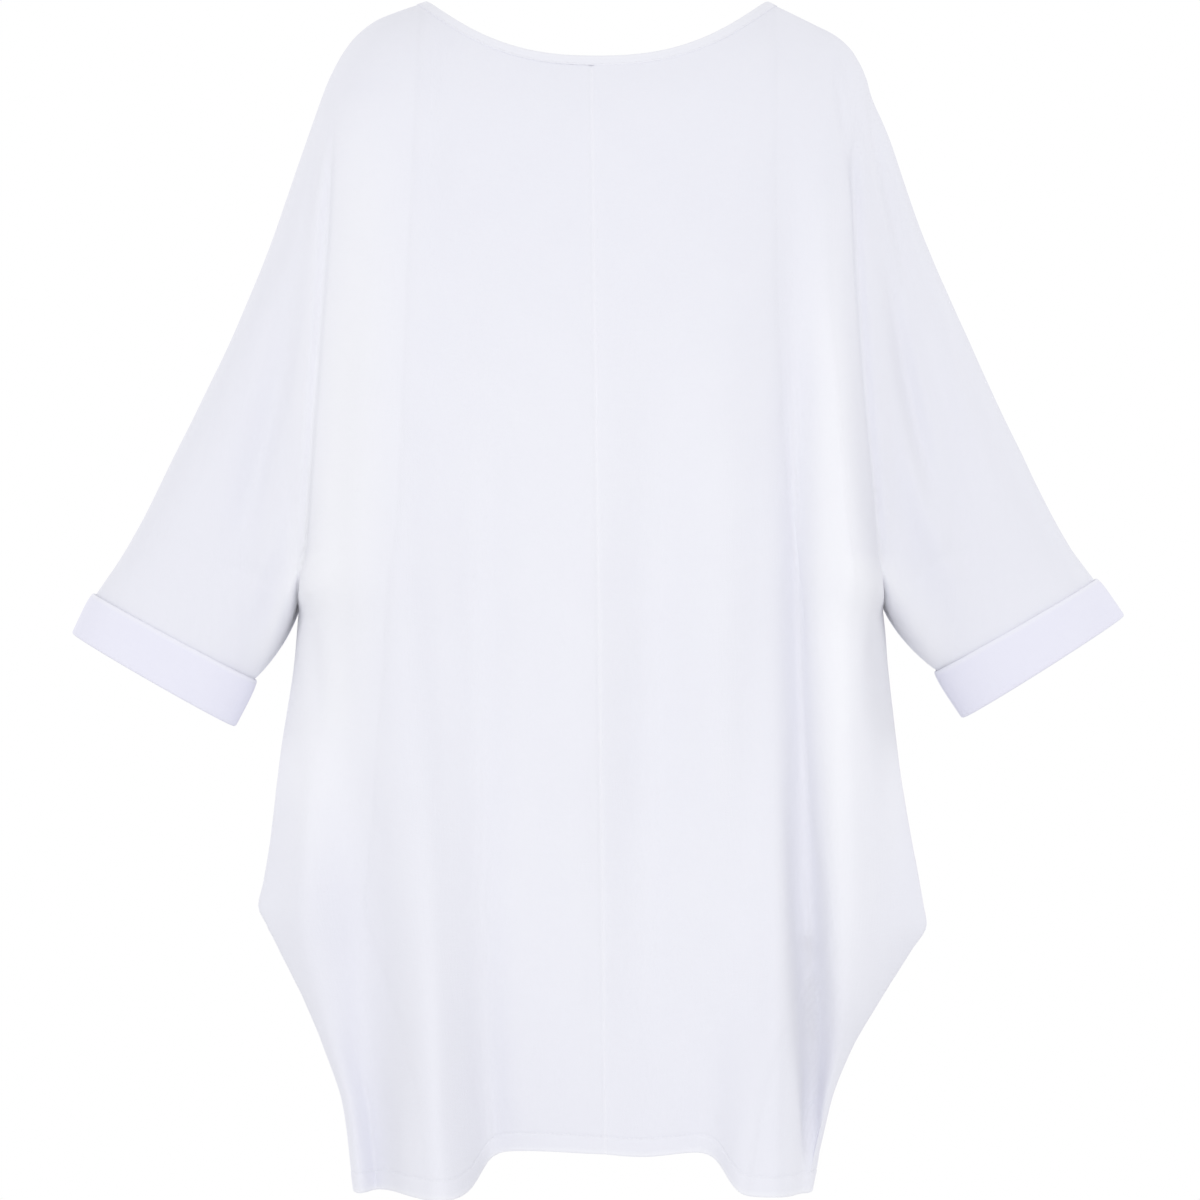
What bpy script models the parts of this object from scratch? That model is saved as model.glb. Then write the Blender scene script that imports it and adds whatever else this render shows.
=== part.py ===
"""A kimono top of light white cloth, hollow as when worn, at real size in metres.

The wearer stands along +Z and faces -Y, so the wearer's left is at +X. The origin lies
halfway between the two neck points, which are the tops of the shoulder seams. Each panel is
a thin wall: its outer face follows the section tables below, and its inner face is the same
sheet moved in by the wall's thickness. Distances marked "down" are measured downwards from
the neck points.
"""

import math

import bmesh
import bpy
import numpy as np
from mathutils import Vector

FRONT = -1
BACK = 1
RIGHT = -1
LEFT = 1

PANEL_WALL = 0.0015
SEAM_GAP = 0.0003
CLOTH_COLOUR = (0.86, 0.87, 0.90, 1.0)
CLOTH_ROUGHNESS = 0.85

# Neck: a shallow boat neck, lower in front, with a narrow strip round its edge.
NECK_HALF_WIDTH = 0.136
NECK_DROP = {FRONT: 0.0530, BACK: 0.0410}
NECK_CURVE = {FRONT: 2.5, BACK: 2.3}
NECK_ROOT_RISE = 0.012
BINDING_WIDTH = 0.008
BINDING_PROUD = 0.0004
BINDING_WALL = 0.0019

# Body, level by level. The half widths reach the fold beside the sleeve above the armpit and
# the side seam below it. The depths are those of the middle of the front and the back.
# "shape" is the power of the share of the half width and "edge" the power that closes the
# section at the side: low and round for a full side, high for a pointed one.
BODY_COLUMNS = ("down", "right", "left", "front", "back", "shape", "edge")
BODY_LEVELS = (
    (0.000, 0.2056, 0.2040, 0.0980, 0.0900, 2.5, 0.80),
    (0.060, 0.2056, 0.2040, 0.1050, 0.1010, 2.5, 0.85),
    (0.120, 0.2080, 0.2020, 0.1170, 0.1110, 2.6, 0.88),
    (0.220, 0.2140, 0.2025, 0.1290, 0.1200, 2.7, 0.86),
    (0.320, 0.2190, 0.2080, 0.1340, 0.1230, 2.8, 0.84),
    (0.400, 0.2235, 0.2140, 0.1350, 0.1240, 2.9, 0.66),
    (0.483, 0.2376, 0.2280, 0.1360, 0.1240, 3.1, 0.42),
    (0.530, 0.2416, 0.2321, 0.1360, 0.1240, 3.1, 0.42),
    (0.599, 0.2501, 0.2378, 0.1360, 0.1250, 3.0, 0.48),
    (0.656, 0.2557, 0.2458, 0.1360, 0.1260, 2.8, 0.62),
    (0.696, 0.2614, 0.2530, 0.1370, 0.1270, 2.7, 0.78),
    (0.717, 0.2656, 0.2562, 0.1380, 0.1280, 2.6, 0.84),
    (0.731, 0.2596, 0.2587, 0.1380, 0.1280, 2.6, 0.84),
    (0.752, 0.2490, 0.2465, 0.1390, 0.1290, 2.6, 0.80),
    (0.792, 0.2291, 0.2212, 0.1410, 0.1310, 2.8, 0.66),
    (0.831, 0.2132, 0.1990, 0.1420, 0.1320, 3.0, 0.58),
    (0.872, 0.1997, 0.1836, 0.1430, 0.1330, 3.3, 0.52),
    (0.940, 0.1908, 0.1706, 0.1430, 0.1340, 3.8, 0.40),
)
ARMPIT_DOWN = 0.483
WING_TIP_DOWN = {RIGHT: 0.717, LEFT: 0.731}
SIDE_HEM_DOWN = 0.940
HEM_DOWN = {FRONT: 0.9370, BACK: 0.9320}
CENTRE_SEAM_TOP_X = -0.005
CENTRE_SEAM_HEM_X = 0.007

# The cloth turns over the shoulder within this distance below the shoulder line.
TURN_HEIGHT_CENTRE = 0.140
TURN_HEIGHT_EDGE = 0.090

# Depth of the fold between body and sleeve, which closes at the armpit.
FOLD_DEPTH = {FRONT: 0.080, BACK: 0.074}
FOLD_CLOSES_FROM = 0.370
FOLD_SQUARE = 2.6

# How far the side seam lies in front of the middle, so that the front falls flat at the sides.
SIDE_SEAM_COLUMNS = ("down", "forward")
SIDE_SEAM_LEVELS = (
    (0.483, 0.000),
    (0.520, 0.008),
    (0.580, 0.036),
    (0.650, 0.063),
    (0.730, 0.078),
    (0.840, 0.070),
    (0.940, 0.058),
)

# The front hangs back between two tubes of cloth, more and more towards the hem.
RECESS_TOP_DOWN = 0.360
RECESS_DEPTH = 0.045
RECESS_HEM_RISE = 0.032
RECESS_EDGES_TOP = (-0.128, 0.138)
RECESS_EDGES_HEM = (-0.088, 0.097)
RECESS_SOFTNESS_TOP = 0.045
RECESS_SOFTNESS_HEM = 0.011
RECESS_GROWTH = 1.8

# Small dips of the hem: how far each hangs down, and half its width.
HEM_DIP_COLUMNS = ("face", "x", "half_width", "drop")
HEM_DIPS = (
    (FRONT, 0.036, 0.030, 0.0050),
    (FRONT, -0.010, 0.026, 0.0015),
    (BACK, -0.060, 0.040, -0.0040),
    (BACK, 0.085, 0.040, -0.0050),
)

# The recess and the folds die away within these shares of the half width from the side.
SIDE_FADE = 0.18
FOLDS_END = 0.11

# The body's depth is evened out along the cloth's fall, below the turn over the shoulder and
# less and less towards the side.
SMOOTH_LEAST = 0.003
SMOOTH_MOST = 0.045
SMOOTH_FALL = 0.6
SMOOTH_FROM = 0.090
SMOOTH_FULL = 0.220
SMOOTH_STEPS = 13

# The largest folds of the body, each a soft ridge (depth over 0) or trough (under 0) along
# a line from its top to its lower end. It grows downwards and keeps its full depth at the
# lower end where "fades" is 0.
FOLD_COLUMNS = ("face", "top_x", "top_down", "low_x", "low_down", "width", "depth", "fades")
BODY_FOLDS = (
    (FRONT, 0.192, 0.020, 0.195, 0.880, 0.030, 0.034, 1),
    (FRONT, 0.150, 0.060, 0.166, 0.900, 0.013, -0.018, 0),
    (FRONT, 0.150, 0.120, 0.160, 0.760, 0.012, -0.008, 1),
    (FRONT, 0.156, 0.460, 0.175, 0.930, 0.014, -0.024, 0),
    (FRONT, 0.200, 0.040, 0.212, 0.860, 0.018, 0.014, 1),
    (FRONT, 0.134, 0.300, 0.146, 0.940, 0.018, 0.012, 0),
    (FRONT, 0.102, 0.160, 0.092, 0.920, 0.024, 0.010, 1),
    (FRONT, 0.046, 0.180, 0.036, 0.960, 0.022, -0.009, 1),
    (FRONT, -0.012, 0.180, -0.016, 0.960, 0.028, 0.009, 1),
    (FRONT, -0.088, 0.180, -0.092, 0.840, 0.022, -0.011, 1),
    (FRONT, -0.094, 0.500, -0.088, 0.940, 0.015, -0.014, 0),
    (FRONT, -0.166, 0.060, -0.154, 0.780, 0.028, 0.014, 1),
    (FRONT, -0.130, 0.460, -0.122, 0.940, 0.024, 0.018, 0),
    (FRONT, -0.190, 0.520, -0.172, 0.930, 0.024, -0.036, 0),
    (FRONT, -0.226, 0.520, -0.232, 0.860, 0.018, 0.010, 1),
    (FRONT, -0.126, 0.030, -0.128, 0.250, 0.014, -0.004, 1),
    (BACK, -0.135, 0.350, -0.150, 0.940, 0.030, 0.016, 0),
    (BACK, -0.070, 0.300, -0.066, 0.940, 0.028, -0.018, 0),
    (BACK, 0.015, 0.420, 0.004, 0.940, 0.034, 0.014, 0),
    (BACK, 0.092, 0.280, 0.084, 0.940, 0.026, -0.020, 0),
    (BACK, 0.150, 0.400, 0.146, 0.940, 0.026, 0.015, 0),
    (BACK, 0.184, 0.140, 0.196, 0.640, 0.020, 0.008, 1),
    (BACK, -0.182, 0.160, -0.198, 0.620, 0.020, 0.008, 1),
)

# The overarm seam, point by point from the neck to just above the cuff.
OVERARM_COLUMNS = ("right_x", "right_down", "left_x", "left_down")
OVERARM_POINTS = (
    (0.1360, 0.0000, 0.1360, 0.0000),
    (0.1560, 0.0066, 0.1560, 0.0095),
    (0.1752, 0.0140, 0.1752, 0.0188),
    (0.1900, 0.0248, 0.1896, 0.0262),
    (0.2040, 0.0424, 0.2030, 0.0385),
    (0.2136, 0.0616, 0.2105, 0.0520),
    (0.2192, 0.0776, 0.2192, 0.0776),
    (0.2328, 0.1176, 0.2340, 0.1176),
    (0.2606, 0.1976, 0.2636, 0.1976),
    (0.2934, 0.2776, 0.2986, 0.2776),
    (0.3328, 0.3576, 0.3358, 0.3576),
    (0.3742, 0.4376, 0.3748, 0.4340),
)

# Cuffs: the outer and inner corners of the lower and upper edges.
CUFF_COLUMNS = ("side", "edge", "outer_x", "outer_down", "inner_x", "inner_down")
CUFF_CORNERS = (
    (RIGHT, "lower", 0.4170, 0.5040, 0.2872, 0.5785),
    (RIGHT, "upper", 0.4016, 0.4712, 0.2682, 0.5425),
    (LEFT, "lower", 0.4190, 0.4900, 0.2900, 0.5718),
    (LEFT, "upper", 0.3984, 0.4595, 0.2660, 0.5358),
)
CUFF_HEIGHT = 0.038
CUFF_WALL = 0.0024
CUFF_LIP = 0.0025
CUFF_CLEARANCE = 0.00045
CUFF_FLARE = 0.0013
CUFF_HALF_DEPTH = 0.032
CUFF_FORWARD = 0.026
CUFF_EDGE_ROUND = 0.0009

# Sleeve half depth along the arm, from the fold beside the body (0) to the cuff (1), where
# its fullest point lies between the underarm (0) and the overarm seam (1), and how square the
# section is: 2 is an oval.
SLEEVE_COLUMNS = ("along", "half_depth", "fullest", "square")
SLEEVE_LEVELS = (
    (0.00, 0.080, 0.52, 3.4),
    (0.15, 0.074, 0.52, 3.6),
    (0.40, 0.063, 0.52, 3.6),
    (0.70, 0.050, 0.52, 3.2),
    (1.00, CUFF_HALF_DEPTH, 0.50, 2.0),
)
SLEEVE_SWELL_WITHIN = 0.30
UNDERARM_BOW = 0.004

# Folds of the sleeves, from the shoulder down the arm. "across" is 0 at the underarm seam
# and 1 at the overarm seam.
SLEEVE_FOLD_COLUMNS = ("face", "side", "top_across", "low_across", "from", "to", "width", "depth")
SLEEVE_FOLDS = (
    (FRONT, LEFT, 0.80, 0.40, 0.02, 0.62, 0.085, -0.007),
    (FRONT, LEFT, 0.46, 0.30, 0.15, 0.95, 0.100, 0.006),
    (FRONT, RIGHT, 0.66, 0.42, 0.10, 0.80, 0.100, -0.006),
    (FRONT, RIGHT, 0.30, 0.24, 0.15, 0.90, 0.090, 0.005),
    (BACK, LEFT, 0.70, 0.45, 0.05, 0.75, 0.095, -0.007),
    (BACK, RIGHT, 0.74, 0.40, 0.05, 0.70, 0.095, -0.007),
)

# Mesh: columns from the centre to the neck and on to the side, and rows down the panel.
NECK_COLUMNS = 10
SHOULDER_SHARES = (0.15, 0.29, 0.42, 0.54, 0.65, 0.75, 0.85, 0.93, 1.0)
TURN_ROWS = 6
ARM_ROW_SHARES = (0.20, 0.40, 0.58, 0.73, 0.85, 0.94, 1.0)
WING_ROWS = 9
HEM_ROWS = 7
SLEEVE_ROW_SHARES = (0.06, 0.14, 0.25, 0.38, 0.51, 0.64, 0.76, 0.88, 1.0)

# Walls: the least lean that a seam's face is cut for, and the longer cut at the armpit.
LEAST_SEAM_LEAN = 0.45
ARMPIT_CUT = 3.0
LEAST_INSIDE = 0.0002
SHARP_DEGREES = 50


def table_column(rows, names, name):
    """One named column of a table."""
    place = names.index(name)
    return np.array([row[place] for row in rows])


def smooth_read(levels, values, at):
    """Values between a table's rows, along a smooth curve that never overshoots them."""
    steps = np.diff(levels)
    rates = np.diff(values) / steps
    slopes = np.zeros(len(values))
    slopes[0] = rates[0]
    slopes[-1] = rates[-1]
    for i in range(1, len(values) - 1):
        before = rates[i - 1]
        after = rates[i]
        if before * after > 0:
            slopes[i] = 2 * before * after / (before + after)
    at = np.clip(at, levels[0], levels[-1])
    row = np.clip(np.searchsorted(levels, at, side="right") - 1, 0, len(steps) - 1)
    step = steps[row]
    part = (at - levels[row]) / step
    start_weight = (1 + 2 * part) * (1 - part) ** 2
    end_weight = part ** 2 * (3 - 2 * part)
    start_lean = part * (1 - part) ** 2 * step
    end_lean = part ** 2 * (part - 1) * step
    return (
        start_weight * values[row]
        + end_weight * values[row + 1]
        + start_lean * slopes[row]
        + end_lean * slopes[row + 1]
    )


def body_value(name, down):
    """A column of the body table at a distance below the neck points."""
    levels = table_column(BODY_LEVELS, BODY_COLUMNS, "down")
    return smooth_read(levels, table_column(BODY_LEVELS, BODY_COLUMNS, name), down)


def half_width(side, down):
    """Half width of the body on one side."""
    return body_value("right" if side == RIGHT else "left", down)


def ease(part):
    """A soft step from 0 to 1."""
    part = np.clip(part, 0.0, 1.0)
    return part * part * (3 - 2 * part)


def overarm_points(side):
    """The overarm seam's points on one side, as distances out and down."""
    name = "right" if side == RIGHT else "left"
    out = table_column(OVERARM_POINTS, OVERARM_COLUMNS, name + "_x")
    down = table_column(OVERARM_POINTS, OVERARM_COLUMNS, name + "_down")
    return out, down


def shoulder_down(side, out):
    """Height of the shoulder line, and of its bridge across the open neck."""
    seam_out, seam_down = overarm_points(side)
    on_seam = smooth_read(seam_out, seam_down, out)
    bridge = -NECK_ROOT_RISE * (1 - np.clip(out / NECK_HALF_WIDTH, 0, 1) ** 2)
    return on_seam + bridge


def fold_depth(face, down):
    """Depth of the fold between body and sleeve. It is nothing from the armpit down."""
    closed = (down - FOLD_CLOSES_FROM) / (ARMPIT_DOWN - FOLD_CLOSES_FROM)
    return FOLD_DEPTH[face] * (1 - np.clip(closed, 0, 1) ** FOLD_SQUARE) ** (1 / FOLD_SQUARE)


def side_forward(down):
    """How far the side seam lies in front of the middle of the sides."""
    levels = table_column(SIDE_SEAM_LEVELS, SIDE_SEAM_COLUMNS, "down")
    return smooth_read(levels, table_column(SIDE_SEAM_LEVELS, SIDE_SEAM_COLUMNS, "forward"), down)


def recess_share(x, down):
    """How much of the front's recess a point has: 1 in its middle, 0 outside it."""
    low = np.clip((down - RECESS_TOP_DOWN) / (HEM_DOWN[FRONT] - RECESS_TOP_DOWN), 0, 1)
    left_edge = RECESS_EDGES_TOP[0] + (RECESS_EDGES_HEM[0] - RECESS_EDGES_TOP[0]) * low
    right_edge = RECESS_EDGES_TOP[1] + (RECESS_EDGES_HEM[1] - RECESS_EDGES_TOP[1]) * low
    softness = RECESS_SOFTNESS_TOP + (RECESS_SOFTNESS_HEM - RECESS_SOFTNESS_TOP) * low
    inside = np.tanh((x - left_edge) / softness) - np.tanh((x - right_edge) / softness)
    return 0.5 * inside * low ** RECESS_GROWTH


def body_folds(face, x, down):
    """Sum of the body's folds at a point."""
    total = np.zeros(np.shape(x))
    for row in BODY_FOLDS:
        fold = dict(zip(FOLD_COLUMNS, row))
        if fold["face"] != face:
            continue
        along = (down - fold["top_down"]) / (fold["low_down"] - fold["top_down"])
        line_x = fold["top_x"] + (fold["low_x"] - fold["top_x"]) * np.clip(along, 0, 1)
        if fold["fades"]:
            strength = np.sin(math.pi * np.clip(along, 0, 1)) ** 2
        else:
            strength = ease(along)
        total = total + fold["depth"] * strength * np.exp(-((x - line_x) / fold["width"]) ** 2)
    return total


def body_depth(side, face, x, share, down):
    """Distance of the body's outer face in front of or behind the side seams."""
    full = body_value("front" if face == FRONT else "back", down)
    fold = fold_depth(face, down) - face * side_forward(down)
    section = (1 - share ** body_value("shape", down)) ** body_value("edge", down)
    turn_height = TURN_HEIGHT_CENTRE + (TURN_HEIGHT_EDGE - TURN_HEIGHT_CENTRE) * share
    below = np.clip((down - shoulder_down(side, np.abs(x))) / turn_height, 0, 1)
    turn = np.sqrt(1 - (1 - below) ** 2)
    folds = body_folds(face, x, down) * ease((1 - share) / FOLDS_END)
    depth = fold + (full - fold) * section + folds
    if face == FRONT:
        depth = depth - RECESS_DEPTH * recess_share(x, down) * ease((1 - share) / SIDE_FADE)
    return turn * depth


def smooth_body_depth(side, face, x, share, down):
    """The body's depth, evened out along the cloth's fall."""
    radius = SMOOTH_LEAST + SMOOTH_MOST * (1 - share) ** SMOOTH_FALL
    total = np.zeros(np.shape(x))
    weight = 0.0
    for step in np.linspace(-2, 2, SMOOTH_STEPS):
        level = np.clip(down + step * radius, 0, SIDE_HEM_DOWN)
        level_share = np.clip(np.abs(x) / half_width(side, level), 0, 1)
        part = math.exp(-step * step)
        total = total + part * body_depth(side, face, x, level_share, level)
        weight += part
    from_top = down - shoulder_down(side, np.abs(x))
    smoothed = ease((from_top - SMOOTH_FROM) / (SMOOTH_FULL - SMOOTH_FROM)) * (share < 1)
    return body_depth(side, face, x, share, down) * (1 - smoothed) + total / weight * smoothed


def neck_end(reach):
    """Distance out to the end of the neck line, at the opening (0) or the panel's edge (1)."""
    return NECK_HALF_WIDTH + reach * (BINDING_WIDTH + SEAM_GAP)


def neck_down(side, face, x, reach):
    """Height of the neck line at x, at the opening (0) or at the panel's edge (1)."""
    end = neck_end(reach)
    end_down = shoulder_down(side, end)
    lowest = NECK_DROP[face] + reach * (BINDING_WIDTH + SEAM_GAP)
    return end_down + (lowest - end_down) * (1 - np.clip(np.abs(x) / end, 0, 1) ** NECK_CURVE[face])


def neck_share(side):
    """Share of the half width that the neck line takes."""
    return neck_end(1.0) / half_width(side, 0.0)


def body_x(side, share, down):
    """Place across the body. The centre seam drifts a little on its way down."""
    drift = CENTRE_SEAM_TOP_X + (CENTRE_SEAM_HEM_X - CENTRE_SEAM_TOP_X) * down / SIDE_HEM_DOWN
    near_centre = np.clip(1 - share / neck_share(side), 0, 1)
    return side * share * half_width(side, down) + drift * near_centre


def column_shares(side):
    """Places of a panel's columns, as shares of the half width."""
    neck = neck_share(side)
    to_neck = [neck * i / NECK_COLUMNS for i in range(NECK_COLUMNS + 1)]
    return np.array(to_neck + [neck + (1 - neck) * part for part in SHOULDER_SHARES])


def top_down(side, face, shares):
    """Height of a panel's upper edge: the neck line, then the shoulder seam."""
    x = body_x(side, shares, 0.0)
    on_neck = neck_down(side, face, x, 1.0)
    on_shoulder = shoulder_down(side, np.abs(x))
    return np.where(shares <= neck_share(side) + LEAST_INSIDE, on_neck, on_shoulder)


def hem_down(side, face, shares):
    """Height of a panel's hem, which rises where the front hangs back."""
    x = body_x(side, shares, SIDE_HEM_DOWN)
    level = HEM_DOWN[face] + (SIDE_HEM_DOWN - HEM_DOWN[face]) * ease((shares - 1 + SIDE_FADE) / SIDE_FADE)
    if face == FRONT:
        level = level - RECESS_HEM_RISE * recess_share(x, np.full(np.shape(x), SIDE_HEM_DOWN))
    for row in HEM_DIPS:
        dip = dict(zip(HEM_DIP_COLUMNS, row))
        if dip["face"] == face:
            level = level + dip["drop"] * np.exp(-((x - dip["x"]) / dip["half_width"]) ** 2)
    return level


def row_shares(side):
    """Heights of a panel's rows, as shares of the way from its upper edge to its hem."""
    top = top_down(side, FRONT, np.array([1.0]))[0]
    length = SIDE_HEM_DOWN - top
    turned = [
        (1 - math.cos(math.pi / 2 * i / TURN_ROWS)) * TURN_HEIGHT_CENTRE / length
        for i in range(TURN_ROWS)
    ]
    armpit = (ARMPIT_DOWN - top) / length
    wing_tip = (WING_TIP_DOWN[side] - top) / length
    turn_end = TURN_HEIGHT_CENTRE / length
    arm = [turn_end + (armpit - turn_end) * share for share in (0.0,) + ARM_ROW_SHARES]
    wing = np.linspace(armpit, wing_tip, WING_ROWS + 1)[1:]
    hem = np.linspace(wing_tip, 1.0, HEM_ROWS + 1)[1:]
    return np.concatenate([turned, arm, wing, hem])


ARMPIT_ROW = TURN_ROWS + len(ARM_ROW_SHARES)


def body_grid(side, face):
    """Outer points of the body part of a panel, as rows of columns."""
    shares = column_shares(side)
    top = top_down(side, face, shares)
    hem = hem_down(side, face, shares)
    rows = []
    for part in row_shares(side):
        down = top + (hem - top) * part
        x = body_x(side, shares, down)
        depth = smooth_body_depth(side, face, x, shares, down)
        rows.append(np.stack([x, face * depth, -down], axis=1))
    return np.array(rows)


def cuff_edge(side, edge, inset):
    """Inner and outer ends, in X and Z, of a cuff's edge, each moved in by the inset."""
    rows = [dict(zip(CUFF_COLUMNS, row)) for row in CUFF_CORNERS]
    cuff = next(row for row in rows if row["side"] == side and row["edge"] == edge)
    outer = np.array([side * cuff["outer_x"], -cuff["outer_down"]])
    inner = np.array([side * cuff["inner_x"], -cuff["inner_down"]])
    across = (outer - inner) / np.linalg.norm(outer - inner)
    return inner + across * inset, outer - across * inset


def sleeve_end_edge(side, up):
    """The flattened sleeve's two edges at a height above the cuff's lower edge."""
    stand = CUFF_CLEARANCE + CUFF_WALL
    lower = cuff_edge(side, "lower", stand)
    upper = cuff_edge(side, "upper", stand + CUFF_FLARE)
    part = up / CUFF_HEIGHT
    return [low + (high - low) * part for low, high in zip(lower, upper)]


def sleeve_value(name, along):
    """A column of the sleeve table, from the fold (0) to the cuff (1)."""
    levels = table_column(SLEEVE_LEVELS, SLEEVE_COLUMNS, "along")
    return smooth_read(levels, table_column(SLEEVE_LEVELS, SLEEVE_COLUMNS, name), along)


def oval_share(across, fullest, square=2.0):
    """Rounding of a sleeve section between its two seams: an oval, or a squarer form."""
    reach = np.where(across > fullest, 1 - fullest, fullest)
    return np.clip(1 - np.abs((across - fullest) / reach) ** square, 0, 1) ** (1 / square)


def overarm_seam(side, along):
    """Point of the overarm seam between the shoulder's end and the cuff's upper edge."""
    out, down = overarm_points(side)
    start_x = half_width(side, 0.0)
    start = np.array([start_x, shoulder_down(side, start_x)])
    end = sleeve_end_edge(side, CUFF_HEIGHT)[1]
    beyond = out > start_x
    points = [start] + list(np.stack([out[beyond], down[beyond]], axis=1))
    points.append(np.array([abs(end[0]), -end[1]]))
    points = np.array(points)
    lengths = np.linalg.norm(np.diff(points, axis=0), axis=1)
    shares = np.concatenate([[0.0], np.cumsum(lengths)]) / lengths.sum()
    return np.array([
        side * smooth_read(shares, points[:, 0], along),
        -smooth_read(shares, points[:, 1], along),
    ])


def sleeve_folds(side, face, across, along):
    """Sum of a sleeve's folds at a point."""
    total = np.zeros(np.shape(across))
    for row in SLEEVE_FOLDS:
        fold = dict(zip(SLEEVE_FOLD_COLUMNS, row))
        if fold["face"] != face or fold["side"] != side:
            continue
        part = np.clip((along - fold["from"]) / (fold["to"] - fold["from"]), 0, 1)
        line = fold["top_across"] + (fold["low_across"] - fold["top_across"]) * part
        strength = np.sin(math.pi * part) ** 2
        total = total + fold["depth"] * strength * np.exp(-((across - line) / fold["width"]) ** 2)
    return total


def even_oval_places(count):
    """Places from the overarm (1) to the underarm (0), closer together at both seams."""
    return (1 + np.cos(math.pi * np.arange(count) / (count - 1))) / 2


def sleeve_grid(side, face, fold_line):
    """Outer points of the sleeve part of a panel, outwards from the fold beside the body."""
    cuff_inner = sleeve_end_edge(side, CUFF_HEIGHT)[0]
    armpit = fold_line[-1][[0, 2]]
    shoulder = fold_line[0][[0, 2]]
    down_arm = (cuff_inner - armpit) / np.linalg.norm(cuff_inner - armpit)
    bow_in = UNDERARM_BOW * side * np.array([down_arm[1], -down_arm[0]])
    fold_places = (fold_line[:, 2] - armpit[1]) / (shoulder[1] - armpit[1])
    bow = fold_line[:, [0, 2]] - (armpit + fold_places[:, None] * (shoulder - armpit))
    oval_places = even_oval_places(len(fold_line))
    rows = []
    for along in SLEEVE_ROW_SHARES:
        over = overarm_seam(side, along)
        under = armpit + (cuff_inner - armpit) * along + bow_in * 4 * along * (1 - along)
        across = fold_places + (oval_places - fold_places) * ease(along)
        plan = under + across[:, None] * (over - under) + bow * (1 - along) ** 2
        section = oval_share(across, sleeve_value("fullest", along), sleeve_value("square", along))
        full = sleeve_value("half_depth", along) * section
        swell = 1 - (1 - min(along / SLEEVE_SWELL_WITHIN, 1)) ** 2
        depth = (1 - swell) * np.abs(fold_line[:, 1]) + swell * full
        depth = depth + sleeve_folds(side, face, across, along) * np.sqrt(across * (1 - across)) * 2
        middle = -CUFF_FORWARD * along ** 2
        rows.append(np.stack([plan[:, 0], middle + face * depth, plan[:, 1]], axis=1))
    inner, outer = sleeve_end_edge(side, CUFF_LIP + SEAM_GAP)
    end = inner + oval_places[:, None] * (outer - inner)
    depth = CUFF_HALF_DEPTH * oval_share(oval_places, 0.5)
    rows.append(np.stack([end[:, 0], -CUFF_FORWARD + face * depth, end[:, 1]], axis=1))
    return np.array(rows)


def split_quad(points, quad):
    """Two triangles for a quad, along its shorter diagonal."""
    a, b, c, d = quad
    if np.linalg.norm(points[a] - points[c]) <= np.linalg.norm(points[b] - points[d]):
        return [(a, b, c), (a, c, d)]
    return [(a, b, d), (b, c, d)]


def grid_triangles(points, numbers):
    """Triangles that fill a grid of point numbers."""
    triangles = []
    for upper, lower in zip(numbers[:-1], numbers[1:]):
        for i in range(len(upper) - 1):
            triangles += split_quad(points, (upper[i], upper[i + 1], lower[i + 1], lower[i]))
    return triangles


def sheet_normals(points, triangles):
    """Outward directions at a sheet's points, weighted by the triangles' areas."""
    normals = np.zeros(points.shape)
    for a, b, c in triangles:
        lean = np.cross(points[b] - points[a], points[c] - points[a])
        for corner in (a, b, c):
            normals[corner] += lean
    return normals / np.linalg.norm(normals, axis=1)[:, None]


def rim_edges(triangles):
    """Edges that belong to one triangle only, in that triangle's direction."""
    used = {(a, b) for t in triangles for a, b in zip(t, t[1:] + t[:1])}
    return [(a, b) for a, b in used if (b, a) not in used]


def make_object(name, points, triangles):
    """A smooth closed object with its own cloth material."""
    mesh = bpy.data.meshes.new(name)
    body = bmesh.new()
    corners = [body.verts.new(Vector(p)) for p in points]
    for triangle in triangles:
        body.faces.new([corners[i] for i in triangle])
    bmesh.ops.recalc_face_normals(body, faces=body.faces[:])
    body.to_mesh(mesh)
    body.free()
    mesh.shade_smooth()
    mesh.set_sharp_from_angle(angle=math.radians(SHARP_DEGREES))
    material = bpy.data.materials.new(name + "_cloth")
    material.use_nodes = True
    shader = material.node_tree.nodes["Principled BSDF"]
    shader.inputs["Base Color"].default_value = CLOTH_COLOUR
    shader.inputs["Roughness"].default_value = CLOTH_ROUGHNESS
    shader.inputs["Metallic"].default_value = 0.0
    mesh.materials.append(material)
    thing = bpy.data.objects.new(name, mesh)
    bpy.context.scene.collection.objects.link(thing)
    return thing


def close_wall(name, outer, inner, triangles):
    """Join an outer and an inner sheet into one closed wall."""
    count = len(outer)
    walls = list(triangles)
    walls += [(c + count, b + count, a + count) for a, b, c in triangles]
    for a, b in sorted(rim_edges(triangles)):
        walls += [(b, a, a + count), (b, a + count, b + count)]
    return make_object(name, np.concatenate([outer, inner]), walls)


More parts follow.
